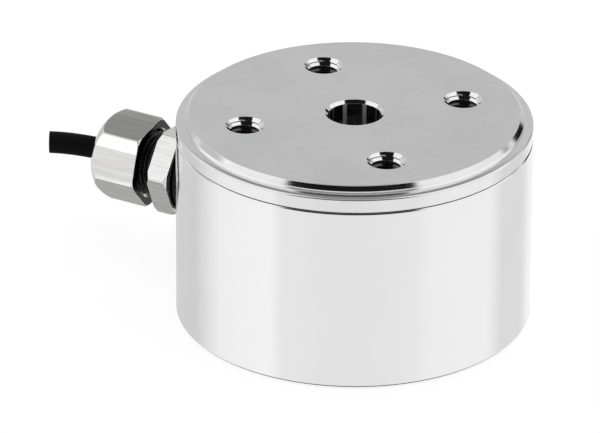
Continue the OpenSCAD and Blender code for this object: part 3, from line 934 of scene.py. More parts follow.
@dataclass
class Housing:
    """The turned body of the sensor, with the spot face and the hole of the gland."""

    radius: float = 30.0
    height: float = 32.2
    low_chamfer: float = 0.3
    high_chamfer: float = 0.2
    spot_r: float = 7.0
    spot_s: float = 29.07
    hole_r: float = 5.02
    hole_steps: int = 128
    seat_r: float = 26.0
    seat_z: float = 23.02
    shaft_r: float = 21.2
    base_r: float = 27.5
    base_h: float = 8.0
    steps: int = 288

    def build(self, side: Material, inside: Material) -> Object:
        """Builds the housing.

        Args:
            side: Finish of the outside.
            inside: Finish of the inside.

        Returns:
            The housing.
        """
        body = MeshBuilder()
        a, b = self.low_chamfer, self.high_chamfer
        outside, inner = HousingZone
        body.turned(
            [
                Corner(self.base_r, 0.0, 0.05, outside),
                Corner(self.radius - a, 0.0, 0.06, outside),
                Corner(self.radius, a, 0.08, outside),
                Corner(self.radius, self.height - b, 0.05, outside),
                Corner(self.radius - b, self.height, 0.03, outside),
                Corner(self.seat_r, self.height, 0.05, inner),
                Corner(self.seat_r, self.seat_z, 0, inner),
                Corner(self.shaft_r, self.seat_z, 0.05, inner),
                Corner(self.shaft_r, self.base_h, 0.05, inner),
                Corner(self.base_r, self.base_h, 0, inner),
                Corner(self.base_r, 0.0),
            ],
            self.steps,
        )
        tool = MeshBuilder(gland_place())
        low, high = self.shaft_r - 2.0, self.radius + 3.0
        tool.turned(
            [
                Corner(0.0, low),
                Corner(self.hole_r, low),
                Corner(self.hole_r, self.spot_s),
                Corner(self.spot_r, self.spot_s),
                Corner(self.spot_r, high),
                Corner(0.0, high),
            ],
            self.hole_steps,
        )
        self.cut(body, tool)
        piece = body.finish("housing_turned", "housing_aluminium", [side, inside], ["housing"])
        self.true_normals(piece.data)
        return piece

    def cut(self, body: MeshBuilder, tool: MeshBuilder) -> None:
        """Takes the tool's solid away from the body's, with Blender's exact boolean.

        Args:
            body: Mesh that is cut, and holds the result.
            tool: Mesh of what is taken away. It is freed.
        """
        objects = []
        for builder in (body, tool):
            builder.weld()
            data = bpy.data.meshes.new("cut")
            builder.bm.to_mesh(data)
            for _ in HousingZone:
                data.materials.append(None)
            item = bpy.data.objects.new("cut", data)
            bpy.context.scene.collection.objects.link(item)
            objects.append(item)
        tool.bm.free()
        modifier = objects[0].modifiers.new("spot", "BOOLEAN")
        modifier.operation = "DIFFERENCE"
        modifier.solver = "EXACT"
        modifier.object = objects[1]
        bpy.context.view_layer.update()
        done = objects[0].evaluated_get(bpy.context.evaluated_depsgraph_get())
        body.bm.clear()
        body.bm.from_mesh(done.to_mesh())
        done.to_mesh_clear()
        for item in objects:
            data = item.data
            bpy.data.objects.remove(item)
            bpy.data.meshes.remove(data)

    def true_normals(self, mesh: Mesh, off_mm: float = 0.02) -> None:
        """Gives the outer wall the normals of a true cylinder.

        Args:
            mesh: The housing's mesh, in metres.
            off_mm: How far from the cylinder the middle of one of its faces may lie.
        """
        normals = [Vector(normal.vector) for normal in mesh.corner_normals]
        for face in mesh.polygons:
            out = Vector((face.center.x, face.center.y, 0.0))
            upright = abs(face.normal.z) <= 0.02 and face.normal.dot(out.normalized()) >= 0.99
            if not upright or abs(out.length - self.radius * MM) > off_mm * MM:
                continue
            for index in face.loop_indices:
                co = mesh.vertices[mesh.loops[index].vertex_index].co
                normals[index] = Vector((co.x, co.y, 0.0)).normalized()
        mesh.normals_split_custom_set(normals)


@dataclass
class BasePlate:
    """The plate that closes the bottom, with tapped holes and the seats of the screw heads."""

    radius: float = 27.45
    height: float = 8.0
    chamfer: float = 0.15
    top_chamfer: float = 0.3
    edge_flat: float = 0.5
    bore_r: float = 4.5
    bore_chamfer: float = 0.25
    bore_land: float = 0.8
    bore_steps: int = 96
    sleeve_r: float = 5.52
    sleeve_z: float = 3.0
    pitch_r: float = 19.0
    seat_r: float = 2.9
    seat_z: float = 4.6
    seat_land: float = 0.12
    seat_steps: int = 64
    screw_r: float = 1.6
    screw_pitch_r: float = 23.6
    steps: int = 192
    hole: TappedHole = TappedHole(major=2.92, sink=2.95)

    def build(self, face: Material, side: Material, hole: Material) -> Object:
        """Builds the plate.

        Args:
            face: Finish of the mounting face.
            side: Finish of the turned sides.
            hole: Finish inside the holes.

        Returns:
            The plate.
        """
        mesh = MeshBuilder()
        under, turned, cut = PlateZone
        c, d, flat_r = self.chamfer, self.top_chamfer, self.radius - self.edge_flat
        mesh.turned(
            [
                Corner(flat_r, 0.0, 0, under),
                Corner(self.radius - c, 0.0, 0.03, turned),
                Corner(self.radius, c, 0.04, turned),
                Corner(self.radius, self.height - d, 0.05, turned),
                Corner(self.radius - d, self.height, 0.05, turned),
                Corner(flat_r, self.height),
            ],
            self.steps,
        )
        land_r, sleeve_land_r = self.bore_r + self.bore_land, self.sleeve_r + self.edge_flat
        mesh.turned(
            [
                Corner(land_r, 0.0, 0, under),
                Corner(self.bore_r + self.bore_chamfer, 0.0, 0.04, cut),
                Corner(self.bore_r, self.bore_chamfer, 0.04, cut),
                Corner(self.bore_r, self.sleeve_z, 0, cut),
                Corner(self.sleeve_r, self.sleeve_z, 0, cut),
                Corner(self.sleeve_r, self.height, 0.05, turned),
                Corner(sleeve_land_r, self.height),
            ],
            self.bore_steps,
        )
        low = [ring(flat_r, 0.0, self.steps), ring(land_r, 0.0, self.bore_steps)]
        high = [ring(flat_r, self.height, self.steps), ring(sleeve_land_r, self.height, self.bore_steps)]
        for centre in pitch_circle(self.pitch_r, 4):
            low.append(mesh.tapped(self.hole, centre, 0.0, False, cut, cut))
        seat_land_r, screw_land_r = self.seat_r + self.seat_land, self.screw_r + self.seat_land
        for centre in pitch_circle(self.screw_pitch_r, 8):
            mesh.turned(
                [
                    Corner(seat_land_r, 0.0, 0, under),
                    Corner(self.seat_r, 0.0, 0.04, cut),
                    Corner(self.seat_r, self.seat_z, 0, cut),
                    Corner(self.screw_r, self.seat_z, 0, cut),
                    Corner(self.screw_r, self.height, 0.03, turned),
                    Corner(screw_land_r, self.height),
                ],
                self.seat_steps,
                centre,
            )
            low.append(ring(seat_land_r, 0.0, self.seat_steps, centre))
            high.append(ring(screw_land_r, self.height, self.seat_steps, centre))
        mesh.flat(low, under)
        mesh.flat(high, turned)
        return mesh.finish("base_plate_turned", "base_aluminium", [face, side, hole], ["base_plate"])


# ---- the gland ----


class GlandZone(IntEnum):
    """Finishes of the gland's metal pieces, in their order."""

    PLATE = 0
    # Plated metal made nearly black on threads, bores and the nut's rear face: painted shade.
    INSIDE = 1


def gland_place() -> Matrix:
    """Puts a builder's Z axis on the gland's axis, outwards, with its X axis upwards."""
    turn = Matrix(((0, 0, -1, 0), (0, 1, 0, 0), (1, 0, 0, 0), (0, 0, 0, 1)))
    return Matrix.Translation((0.0, 0.0, GLAND_Z)) @ turn


@dataclass
class CableGland:
    """The plated gland: gasket, body with its hexagon and threads, and the domed cap nut.

    Names that end in _s are places along the gland's axis, from the body's axis outwards. The cap nut's
    dome is an arc of crown_r whose centre lies crown_c from the gland's axis.
    """

    hex_s: float = 32.3
    washer: float = 0.3
    neck_s: float = 36.1
    nut_s: float = 39.0
    mouth_s: float = 48.7
    across: float = 14.0
    body_turn: float = 37.2
    body_soft: float = 0.05
    nut_turn: float = 18.7
    nut_strip: float = 2.1
    nut_bevel: float = 0.3
    crown_r: float = 5.6
    crown_c: float = 3.003
    crown_steps: int = 12
    crease_soft: float = 0.12
    nut_face_r: float = 4.8
    mouth_r: float = 2.4
    mouth_chamfer: float = 0.6
    mouth_depth: float = 2.6
    cap_r: float = 5.5
    cap_chamfer: float = 0.6
    cap_end: float = 45.05
    thread_pitch: float = 1.0
    thread_depth: float = 0.55
    thread_end: float = 0.4
    shank_r: float = 5.0
    shank_s: float = 22.3
    pass_r: float = 2.1
    seal_r: float = 4.32
    seal_s: float = 40.75
    gasket_r: float = 6.8
    spot_s: float = 29.07
    steps: int = 96

    def nut_line(self, rho: float, corner_r: float) -> list[Point2]:
        """Gives the cap nut's outside at one angle, from its inner end to its mouth.

        Args:
            rho: The hexagon's radius at that angle.
            corner_r: The hexagon's largest radius.

        Returns:
            Points as radius and place along the axis.
        """
        crown_s = self.mouth_s - math.sqrt(self.crown_r**2 - (self.nut_face_r - self.crown_c) ** 2)
        start = math.acos((rho - self.crown_c) / self.crown_r)
        end = math.acos((self.nut_face_r - self.crown_c) / self.crown_r)
        crease = Vector((rho, crown_s + self.crown_r * math.sin(start)))
        along = Vector((-math.sin(start), math.cos(start)))
        low = self.nut_s + max(0.0, rho - (corner_r - self.nut_bevel))
        flat = min(rho, corner_r - self.nut_bevel)
        # Points close beside each edge keep the faces next to it flat and its highlight narrow.
        before, after = crease - Vector((0.0, self.crease_soft)), crease + along * self.crease_soft
        line = [
            (self.cap_r + self.cap_chamfer, self.nut_s),
            (self.across / 2 - 0.35, self.nut_s),
            (flat - 0.10, self.nut_s),
            (flat - 0.04, self.nut_s),
            (rho - 0.01, low + 0.02) if flat == rho else (rho - 0.03, low - 0.03),
            (rho, low + 0.05),
            (rho, low + 0.12),
            (rho, crease.y - 0.22),
            before,
            (before + 2.0 * crease + after) / 4.0,
            after,
            crease + along * 0.2,
        ]
        start += 0.2 / self.crown_r
        for step in range(1, self.crown_steps):
            swing = start + (end - start) * step / self.crown_steps
            r, s = spoke(self.crown_r, swing)
            line.append((self.crown_c + r, crown_s + s))
        return line + [
            (self.nut_face_r + 0.03, self.mouth_s - 0.02),
            (self.nut_face_r - 0.05, self.mouth_s),
            (self.nut_face_r - 0.12, self.mouth_s),
            (self.mouth_r + self.mouth_chamfer + 0.06, self.mouth_s),
        ]

    def build_nut(self, plate: Material, inside: Material) -> Object:
        """Builds the cap nut.

        Args:
            plate: Finish of the outside.
            inside: Finish of the rear face, the bore and the inside of the mouth, nearly black as painted
                shade.

        Returns:
            The nut.
        """
        mesh = MeshBuilder(gland_place())
        outer, inner = GlandZone
        outline = Hexagon(self.across, self.nut_turn, strip=self.nut_strip).outline()
        corner_r = max(rho for _, rho in outline)
        columns = [[polar(r, angle, s) for r, s in self.nut_line(rho, corner_r)] for angle, rho in outline]
        rows = list(zip(*columns))
        # The rear face takes the dark inside finish out to near the flats: painted shade in the gap before
        # the body's hexagon.
        mesh.grid(rows, [inner, inner] + [outer] * (len(rows) - 3))
        chamfer_s = self.mouth_s - self.mouth_chamfer
        line = [
            (self.mouth_r + self.mouth_chamfer + 0.06, self.mouth_s, outer),
            (self.mouth_r + self.mouth_chamfer, self.mouth_s - 0.02, outer),
            (self.mouth_r + 0.02, chamfer_s, inner),
            (self.mouth_r, chamfer_s - 0.05, inner),
            (self.mouth_r, self.mouth_s - self.mouth_depth, inner),
            (self.cap_r, self.mouth_s - self.mouth_depth, inner),
            (self.cap_r, self.nut_s + self.cap_chamfer, outer),
            (self.cap_r + self.cap_chamfer, self.nut_s, outer),
        ]
        rows = [[polar(r, angle, s) for angle, _ in outline] for r, s, _ in line]
        mesh.grid(rows, [zone for _, _, zone in line[:-1]])
        return mesh.finish("gland_cap_nut", "nickel_plate", [plate, inside], ["gland_nut"], sharp=34.0)

    def body_line(self, rho: float, corner_r: float) -> list[Point2]:
        """Gives the body's hexagon at one angle, from its inner face around to the same face.

        Args:
            rho: The hexagon's radius at that angle.
            corner_r: The hexagon's largest radius.

        Returns:
            Points as radius and place along the axis.
        """
        cut = max(0.0, rho - (corner_r + self.across / 2) / 2)
        flat = rho - cut
        low, high = self.hex_s + cut, self.neck_s - cut
        soft, part, slip = self.body_soft, self.body_soft * 0.3, cut * 0.05
        under = self.cap_r - 0.4
        return [
            (under, self.hex_s),
            (flat - 0.15, self.hex_s),
            (flat - soft, self.hex_s),
            (flat - part + slip, self.hex_s + part + slip),
            (rho - slip, low + part - slip),
            (rho, low + soft),
            (rho, low + 0.14),
            (rho, high - 0.14),
            (rho, high - soft),
            (rho - slip, high - part + slip),
            (flat - part + slip, self.neck_s - part - slip),
            (flat - soft, self.neck_s),
            (flat - 0.15, self.neck_s),
            (under, self.neck_s),
            (under, self.hex_s),
        ]

    def build_body(self, plate: Material, thread: Material) -> Object:
        """Builds the gland's body.

        Args:
            plate: Finish of the hexagon.
            thread: Finish of the threads, the neck, the washer and the bore, nearly black as painted shade.

        Returns:
            The body.
        """
        mesh = MeshBuilder(gland_place())
        outer, inner = GlandZone
        outline = Hexagon(self.across, self.body_turn).outline()
        corner_r = max(rho for _, rho in outline)
        columns = [[polar(r, angle, s) for r, s in self.body_line(rho, corner_r)] for angle, rho in outline]
        rows = list(zip(*columns))
        mesh.grid(rows, [outer] * (len(rows) - 1))
        washer_r, washer_s = self.across / 2 - 0.1, self.hex_s - self.washer
        core_r = self.cap_r - 0.45
        # Neck, washer and bore take the nearly black thread finish: painted shade between the nut and the
        # hexagon.
        mesh.turned(
            [
                Corner(self.pass_r, self.shank_s, 0, inner),
                Corner(self.shank_r, self.shank_s, 0.2, inner),
                Corner(self.shank_r, washer_s, 0, inner),
                Corner(washer_r, washer_s, 0.03, inner),
                Corner(washer_r, self.hex_s, 0, inner),
                Corner(core_r, self.hex_s + 0.2, 0, inner),
                Corner(core_r, self.cap_end, 0.1, inner),
                Corner(self.seal_r, self.cap_end, 0.1, inner),
                Corner(self.seal_r, self.seal_s, 0, inner),
                Corner(self.pass_r, self.seal_s, 0, inner),
                Corner(self.pass_r, self.shank_s),
            ],
            self.steps,
        )
        self.add_thread(mesh, self.neck_s, self.cap_end - self.thread_end)
        return mesh.finish("gland_body_turned", "nickel_plate", [plate, thread], ["gland_body"], sharp=34.0)

    def add_thread(self, mesh: MeshBuilder, low: float, high: float) -> None:
        """Adds the outside thread for the cap nut.

        Args:
            mesh: Builder in the gland's frame.
            low: Where the thread starts.
            high: Where it ends.
        """
        shape = TappedHole(minor=0.0, major=self.thread_depth)
        pitch = self.thread_pitch
        rows = []
        for i in range(int((high - low) / pitch + 1) * shape.per_pitch + 1):
            turns = i / shape.per_pitch
            row = []
            for j in range(shape.columns + 1):
                share = j / shape.columns
                height = min(max(low + (turns + share - 1.0) * pitch, low), high)
                fade = min(1.0, (height - low) / pitch, (high - height) / pitch)
                radius = self.cap_r - shape.thread_depth(turns % 1.0) * fade
                row.append(polar(radius, share * math.tau, height))
            rows.append(row)
        mesh.grid(rows, [GlandZone.INSIDE] * (len(rows) - 1), closed=False)

    def build_gasket(self, rubber: Material) -> Object:
        """Builds the gasket between the body's hexagon and the housing.

        Args:
            rubber: Finish of the rubber.

        Returns:
            The gasket.
        """
        mesh = MeshBuilder(gland_place())
        out_s, inner_r = self.hex_s - self.washer, self.shank_r + 0.1
        mesh.turned(
            [
                Corner(inner_r, self.spot_s, 0.1),
                Corner(self.gasket_r, self.spot_s, 0.1),
                Corner(self.gasket_r, out_s, 0.8),
                Corner(inner_r, out_s, 0.1),
                Corner(inner_r, self.spot_s),
            ],
            self.steps,
        )
        return mesh.finish("gland_gasket_ring", "seal_rubber", [rubber], ["gland_gasket"])


@dataclass
class CableStub:
    """The short rigid piece of cable that leaves the gland, cut off at a slant."""

    radius: float = 1.9
    inner: float = 1.45
    start_s: float = 20.2
    straight_steps: int = 14
    bend_s: float = 48.1
    bend_r: float = 59.0
    bend_steps: int = 16
    cut_s: float = 60.1
    cut_turn: float = 28.7
    cut_round: float = 0.05
    columns: int = 56

    def frames(self) -> list[tuple[Vector, Vector, Vector]]:
        """Gives points along the cable with its direction and its upward side, in the gland's frame."""
        result = []
        for step in range(self.straight_steps + 1):
            s = self.start_s + (self.bend_s - self.start_s) * step / self.straight_steps
            result.append((Vector((0.0, 0.0, s)), Vector((0, 0, 1)), Vector((1, 0, 0))))
        reach = math.asin((self.cut_s - self.bend_s) / self.bend_r)
        for step in range(1, self.bend_steps + 1):
            angle = reach * step / self.bend_steps
            rise, run = spoke(self.bend_r, angle)
            cos, sin = math.cos(angle), math.sin(angle)
            centre = Vector((-self.bend_r + rise, 0.0, self.bend_s + run))
            result.append((centre, Vector((-sin, 0.0, cos)), Vector((cos, 0.0, sin))))
        return result

    def build(self, jacket: Material) -> Object:
        """Builds the jacket.

        Args:
            jacket: Finish of the jacket.

        Returns:
            The jacket.
        """
        mesh = MeshBuilder(gland_place())
        turn = math.radians(self.cut_turn)
        normal = Vector((0.0, -math.sin(turn), math.cos(turn)))
        anchor = Vector((0.0, 0.0, self.cut_s))
        frames = self.frames()

        def row(index: int, radius: float) -> list[Vector]:
            """Gives the circle at one point, moved onto the cut where it would pass it.

            Args:
                index: Number of the point.
                radius: Radius of the circle.

            Returns:
                The circle's points.
            """
            centre, ahead, up = frames[index]
            across = ahead.cross(up)
            points = []
            for step in range(self.columns):
                angle = math.tau * step / self.columns
                point = centre + radius * (math.cos(angle) * up + math.sin(angle) * across)
                past = (point - anchor).dot(normal)
                if past > 0.0 or index == len(frames) - 1:
                    point = point - ahead * (past / ahead.dot(normal))
                points.append(point)
            return points

        outer, inner = ([row(index, r) for index in range(len(frames))] for r in (self.radius, self.inner))
        edge = [a.lerp(b, 0.12) for a, b in zip(outer[-1], inner[-1])]
        soft = [point - normal * self.cut_round for point in outer[-1]]
        rows = outer[:-1] + [soft, edge] + inner[::-1] + [outer[0]]
        mesh.grid(rows, [0] * (len(rows) - 1))
        return mesh.finish("cable_jacket_skin", "cable_black", [jacket], ["cable_jacket"], sharp=40.0)


# ---- what stays as the frame has it ----


@dataclass
class InnerParts:
    """CAD nodes that keep their own mesh and get a finish."""

    nodes: dict[str, Object]

    def dress(self, finishes: dict[str, Material]) -> None:
        """Puts a finish on each node.

        Args:
            finishes: Material by node name.
        """
        for name, material in finishes.items():
            for slot in self.nodes[name].material_slots:
                slot.material = material
            log.info("%s: %s", name, material.name)


# ---- studio ----


@dataclass(frozen=True)
class Card:
    """A grey card in the surroundings, with its sides in degrees around and above the floor."""

    west: float
    east: float
    low: float
    high: float
    shade: float
    edge: float = 8.0
    rim: float = 3.0

    def before(self, graph: Graph, around: object, rise: object, level: object) -> NodeSocket:
        """Puts the card before the surroundings.

        Args:
            graph: Graph in which the nodes go.
            around: Direction around the part, in degrees.
            rise: Direction above the floor, in degrees.
            level: Brightness of the surroundings.

        Returns:
            Brightness with the card.
        """
        width = graph.band(around, self.west, self.east, self.edge)
        height = graph.band(rise, self.low, self.high, self.rim)
        return graph.lerp(graph.times(width, height), level, self.shade)


@dataclass
class Studio:
    """Pale floor, soft surroundings and one lamp.

    Levels are brightness, where 1 is white. Pairs of angles in degrees say where one level turns into
    another: names with rise count above the floor, names with turn around the part from the main view.
    """

    floor_size: float = 4.0
    floor_drop: float = 0.3
    floor_grey: float = 0.26
    floor_light: float = 0.83
    floor_white: float = 0.8
    # Radii, edge and brightness of the painted shadow ring on the floor under the part's foot.
    under_r: tuple[float, float, float] = (29.3, 30.1, 0.5)
    under_shade: float = 0.05
    turn: float = CAMERA_TURN
    side_level: float = 1.3
    low_side: float = 0.84
    low_rise: Point2 = (8.5, 11.0)
    west_grey: float = 0.62
    east_grey: float = 0.42
    grey_turn: Point2 = (-40.0, 40.0)
    grey_rise: tuple[float, float, float] = (20.0, 34.0, 5.0)
    back_level: float = 0.62
    back_turn: Point2 = (118.0, 138.0)
    high_side: float = 0.99
    high_back: float = 0.30
    high_turn: Point2 = (142.0, 156.0)
    high_rise: Point2 = (31.0, 39.0)
    ceiling: float = 0.42
    ceiling_rise: Point2 = (74.0, 80.0)
    cards: tuple[Card, ...] = (
        Card(-44.0, 42.0, 8.0, 46.0, 0.33),
        Card(-40.0, 38.0, 36.0, 47.0, 0.10),
        Card(-62.0, 58.0, 50.0, 73.0, 0.008, 7.0),
        Card(131.5, 148.0, 3.0, 16.0, 0.008, 5.0),
        Card(96.0, 122.0, 22.0, 38.0, 0.95, 5.0),
    )
    straight_down: float = 0.45
    down_rise: Point2 = (-50.0, -40.0)
    far_table: float = 0.66
    far_rise: Point2 = (-24.0, -14.0)
    far_turn: Point2 = (136.0, 150.0)
    table_rise: Point2 = (-4.0, 1.0)
    table: tuple[Point2, ...] = (
        (-180.0, 0.68),
        (-124.0, 0.70),
        (-96.0, 1.00),
        (-54.0, 1.04),
        (-48.0, 0.92),
        (-10.0, 0.88),
        (40.0, 0.91),
        (50.0, 0.98),
        (98.0, 1.00),
        (112.0, 0.81),
        (140.0, 0.80),
        (156.0, 0.96),
        (180.0, 0.96),
    )
    lamp_azimuth: float = 20.0
    lamp_elevation: float = 70.0
    lamp_distance: float = 0.9
    lamp_size: float = 0.5
    lamp_watts: float = 1.2
    lamp_aim: float = 0.018

    def build(self) -> None:
        """Builds the floor, the world and the lamp."""
        self.build_floor()
        self.build_world()
        self.build_lamp()

    def build_lamp(self) -> None:
        """Builds a soft square lamp over the part, which gives no reflection of its own."""
        light = bpy.data.lights.new("top", "AREA")
        light.size = self.lamp_size
        light.energy = self.lamp_watts
        lamp = bpy.data.objects.new("top", light)
        lamp.visible_glossy = False
        bpy.context.scene.collection.objects.link(lamp)
        rise = math.radians(self.lamp_elevation)
        swing = math.radians(self.lamp_azimuth) + self.turn
        side = polar(math.cos(rise), swing - math.pi / 2, math.sin(rise))
        lamp.location = side * self.lamp_distance + Vector((0, 0, self.lamp_aim))
        lamp.rotation_mode = "QUATERNION"
        lamp.rotation_quaternion = side.to_track_quat("Z", "Y")

    def build_floor(self) -> None:
        """Builds the floor, which the camera sees as evenly lit paper.

        Metal sees only a dark line at the part's foot, a painted shadow, and past that the world's table
        through it.
        """
        data = bpy.data.meshes.new("floor")
        bm = bmesh.new()
        bmesh.ops.create_circle(bm, cap_ends=True, segments=96, radius=self.floor_size)
        bm.to_mesh(data)
        bm.free()
        floor = bpy.data.objects.new("floor", data)
        floor.location.z = -self.floor_drop * MM
        bpy.context.scene.collection.objects.link(floor)
        material, graph = new_material("floor_paper")
        ray = graph.add("LightPath").outputs
        geometry = graph.add("NewGeometry").outputs
        x, y, _ = graph.parts(geometry["Position"])
        # A dark ring under the base edge, seen only in metal: painted shadow.
        under = graph.band(graph.length(x, y), *(size * MM for size in self.under_r))
        shade = graph.add("Emission", inputs={"Strength": self.under_shade})
        clear = graph.add("BsdfTransparent")
        seen = graph.add("MixShader", under, clear, shade)
        paper = graph.add("BsdfDiffuse", inputs={"Color": (self.floor_grey,) * 3})
        light = graph.add("Emission", inputs={"Strength": self.floor_light})
        lit = graph.add("AddShader", paper, light)
        white = graph.add("BsdfDiffuse", inputs={"Color": (self.floor_white,) * 3})
        first = graph.add("MixShader", ray["Is Camera Ray"], white, lit)
        second = graph.add("MixShader", ray["Is Glossy Ray"], first, seen)
        graph.add("OutputMaterial", graph.add("MixShader", geometry["Backfacing"], second, clear))
        data.materials.append(material)

    def build_world(self) -> None:
        """Builds the surroundings.

        Above the floor they are white paper at the sides, grey in front, behind and overhead, with cards
        before them. Below, they are the table that metal sees. The camera sees plain white.
        """
        world = bpy.data.worlds.new("studio")
        bpy.context.scene.world = world
        world.use_nodes = True
        graph = Graph(world.node_tree)
        ray = graph.add("LightPath").outputs
        inputs = {"Vector": graph.add("TexCoord").outputs["Generated"], "Angle": -self.turn}
        x, y, z = graph.parts(graph.add("VectorRotate", inputs=inputs, rotation_type="Z_AXIS"))
        degrees = 180.0 / math.pi
        rise = graph.times(graph.math("ARCSINE", z), degrees)
        around = graph.times(graph.math("ARCTAN2", x, graph.times(y, -1.0)), degrees)
        aside = graph.math("ABSOLUTE", around)
        sides = graph.lerp(graph.smooth(rise, *self.low_rise), self.low_side, self.side_level)
        grey = graph.lerp(graph.smooth(around, *self.grey_turn), self.west_grey, self.east_grey)
        sides = graph.lerp(graph.band(rise, *self.grey_rise), sides, grey)
        level = graph.lerp(graph.smooth(aside, *self.back_turn), sides, self.back_level)
        high = graph.lerp(graph.smooth(aside, *self.high_turn), self.high_side, self.high_back)
        level = graph.lerp(graph.smooth(rise, *self.high_rise), level, high)
        level = graph.lerp(graph.smooth(rise, *self.ceiling_rise), level, self.ceiling)
        for card in self.cards:
            level = card.before(graph, around, rise, level)
        turn = graph.math("ADD", graph.math("DIVIDE", around, 360.0), 0.5)
        table = graph.ramp(turn, [(angle / 360.0 + 0.5, (value,) * 3) for angle, value in self.table])
        table = graph.lerp(graph.smooth(rise, *self.down_rise), self.straight_down, table)
        far = graph.times(graph.smooth(rise, *self.far_rise), graph.smooth(aside, *self.far_turn))
        table = graph.lerp(far, table, self.far_table)
        level = graph.lerp(graph.smooth(rise, *self.table_rise), table, level)
        level = graph.lerp(ray["Is Camera Ray"], level, 1.0)
        background = graph.add("Background", inputs={"Color": (1.0,) * 3, "Strength": level})
        graph.add("OutputWorld", background)


@dataclass
class ProductCamera:
    """The long lens of the main view."""

    distance: float = 0.98769
    height: float = 0.51167
    yaw: float = -0.0091777
    down: float = 0.4645592
    roll: float = 0.0052798
    focal: float = 392.58
    sensor: float = 36.0
    nearest: float = 0.05
    farthest: float = 20.0

    def build(self) -> Object:
        """Builds the camera and makes it the scene's."""
        data = bpy.data.cameras.new("product")
        data.lens = self.focal
        data.sensor_width = self.sensor
        data.clip_start, data.clip_end = self.nearest, self.farthest
        camera = bpy.data.objects.new("product", data)
        bpy.context.scene.collection.objects.link(camera)
        flat = math.cos(self.down)
        ahead = Vector((flat * math.sin(self.yaw), flat * math.cos(self.yaw), -math.sin(self.down)))
        level = Vector((math.cos(self.yaw), -math.sin(self.yaw), 0.0))
        cos, sin = math.cos(self.roll), math.sin(self.roll)
        right = level * cos + level.cross(ahead) * sin
        up = level.cross(ahead) * cos - level * sin
        swing = Matrix.Rotation(CAMERA_TURN, 3, "Z")
        camera.rotation_mode = "QUATERNION"
        camera.rotation_quaternion = (swing @ Matrix((right, up, -ahead)).transposed()).to_quaternion()
        camera.location = swing @ Vector((0.0, -self.distance, self.height))
        bpy.context.scene.camera = camera
        return camera


# ---- putting it together ----


def inner_finishes() -> dict[str, Material]:
    """Gives the material of each node that keeps its CAD mesh."""
    screw = MetalFinish("black_oxide_steel", (0.045, 0.045, 0.048), 0.42, 0.08, grain_depth=0.002)
    pin = MetalFinish("ground_steel", (0.56, 0.57, 0.58), 0.22, 0.05)
    rubber = PlasticFinish("seal_rubber_black", (0.012, 0.012, 0.013), (0.020, 0.020, 0.021), 0.55, 0.1, 0.4)
    gauge = GaugeFinish("gauge_foil")
    strands = (
        (0.75, 0.03, 0.02),
        (0.01, 0.01, 0.01),
        (0.02, 0.30, 0.06),
        (0.80, 0.80, 0.78),
        (0.03, 0.10, 0.60),
        (0.85, 0.60, 0.02),
        (0.35, 0.12, 0.03),
    )
    spring = MetalFinish(
        "milled_alloy", (0.80, 0.81, 0.82), 0.26, 0.07, Way.BLASTED, grain_mm=0.2, grain_depth=0.002
    )
    finishes = {
        ("spring_element",): spring,
        ("bore_sleeve",): MetalFinish("bore_sleeve_steel", (0.60, 0.60, 0.61), 0.25),
        ("hub_screws", "base_screws"): screw,
        ("board_screws", "hub_dowels", "ring_dowels"): pin,
        ("seal_ring", "base_o_ring", "gland_seal"): rubber,
        ("gauges_top", "gauges_bottom", "gauges_side"): gauge,
        ("gauge_leads",): PlasticFinish("lead_red", (0.55, 0.03, 0.02), (0.48, 0.02, 0.02), 0.4),
        ("terminal_board",): BoardFinish("board_green"),
        ("board_standoffs",): MetalFinish("brass", (0.80, 0.62, 0.30), 0.24, 0.05),
        ("amplifier_chips",): PlasticFinish(
            "chip_epoxy", (0.015, 0.015, 0.016), (0.022, 0.022, 0.022), 0.6, 0.1, 0.35
        ),
        ("chip_leads",): MetalFinish("tin", (0.72, 0.72, 0.72), 0.35, 0.06, Way.BLASTED),
        ("board_connector",): PlasticFinish("connector_nylon", (0.72, 0.68, 0.58), (0.68, 0.64, 0.54), 0.45),
        ("cable_shield",): BraidFinish("copper_braid"),
        ("cable_cores",): PlasticFinish(
            "core_insulation_colours", strands[0], strands[0], 0.38, per_strand=strands
        ),
        ("core_strands",): MetalFinish("strand_copper", (0.86, 0.52, 0.36), 0.3, way=Way.DRAWN_GLAND),
        ("gland_claw",): PlasticFinish("claw_nylon", (0.030, 0.030, 0.032), (0.040, 0.040, 0.042), 0.45),
    }
    made = [(names, finish.material()) for names, finish in finishes.items()]
    return {name: material for names, material in made for name in names}


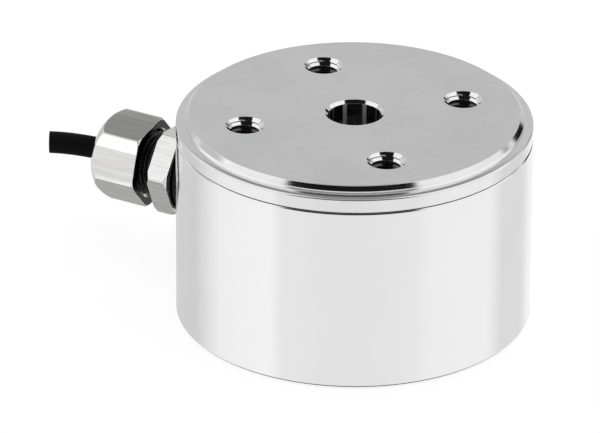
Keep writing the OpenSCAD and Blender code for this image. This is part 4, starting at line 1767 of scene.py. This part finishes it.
def build_flange(face: Material) -> None:
    """Builds the load flange with its finishes.

    Args:
        face: Finish of the tool face.
    """
    ledge = MetalFinish(
        "flange_turned", (0.84, 0.84, 0.842), 0.09, 0.03, line_mm=0.25, line_depth=0.0003, cloud_mm=8.0
    )
    bore = MetalFinish(
        "bore_reamed", (0.62,) * 3, 0.10, 0.03, line_mm=0.1, line_depth=0.0008, rub_marks=(97.2, 140.2)
    )
    thread = MetalFinish("tapped_bright", (0.90,) * 3, 0.07, 0.02, line_mm=0.1, line_depth=0.0004)
    # Nearly black metal deep in the tapped holes and on their inward flanks: painted shade, not a different
    # metal.
    deep_shade = MetalFinish("tapped_painted_shade", (0.10,) * 3, 0.16, 0.05, line_mm=0.1, line_depth=0.0006)
    LoadFlange().build([face] + [finish.material() for finish in (ledge, bore, thread, deep_shade)])


def build_housing(face: Material) -> None:
    """Builds the housing and the base plate with their finishes.

    Args:
        face: Finish of the mounting face.
    """
    side = MetalFinish(
        "body_turned",
        (0.87, 0.87, 0.868),
        0.11,
        0.03,
        line_mm=0.25,
        line_depth=0.0004,
        cloud_mm=14.0,
        tint=0.02,
    ).material()
    inside = MetalFinish("inside_turned", (0.62,) * 3, 0.16, 0.04, line_mm=0.1, line_depth=0.0008).material()
    Housing().build(side, inside)
    BasePlate().build(face, side, inside)


def build_gland() -> None:
    """Builds the gland and the cable with their finishes."""
    plate = MetalFinish(
        "nickel_drawn",
        (0.90, 0.895, 0.885),
        0.085,
        0.03,
        Way.DRAWN_GLAND,
        line_mm=0.45,
        line_depth=0.0016,
        cloud_mm=5.0,
        tint=0.05,
        line_tint=0.13,
        stretch=0.05,
    ).material()
    # Plated metal painted nearly black: shade painted into the threads, the neck and the nut's rear face.
    dark = MetalFinish("thread_painted_shade", (0.035,) * 3, 0.28, way=Way.TURNED_GLAND, line_depth=0.001).material()
    rubber = PlasticFinish("gasket_rubber", (0.004,) * 3, (0.007,) * 3, 0.55, 0.1, 0.15)
    jacket = PlasticFinish(
        "jacket_black", (0.0012, 0.0012, 0.0013), (0.002, 0.002, 0.0021), specular=0.06, grain_mm=0.3
    )
    gland = CableGland()
    gland.build_gasket(rubber.material())
    gland.build_body(plate, dark)
    gland.build_nut(plate, dark)
    CableStub().build(jacket.material())


def main() -> None:
    """Builds every piece in order and reports it."""
    logging.basicConfig(level=logging.INFO, format="%(name)s: %(message)s")
    face = MetalFinish(
        "flange_faced",
        (0.86, 0.86, 0.865),
        0.22,
        0.05,
        Way.BLASTED,
        grain_mm=0.25,
        grain_depth=0.0012,
        cloud_mm=11.0,
        tint=0.09,
    ).material()
    build_flange(face)
    build_housing(face)
    build_gland()
    InnerParts(frame["nodes"]).dress(inner_finishes())
    Studio().build()
    ProductCamera().build()
    bpy.context.scene.view_settings.view_transform = "Standard"


if __name__ == "__main__":
    main()
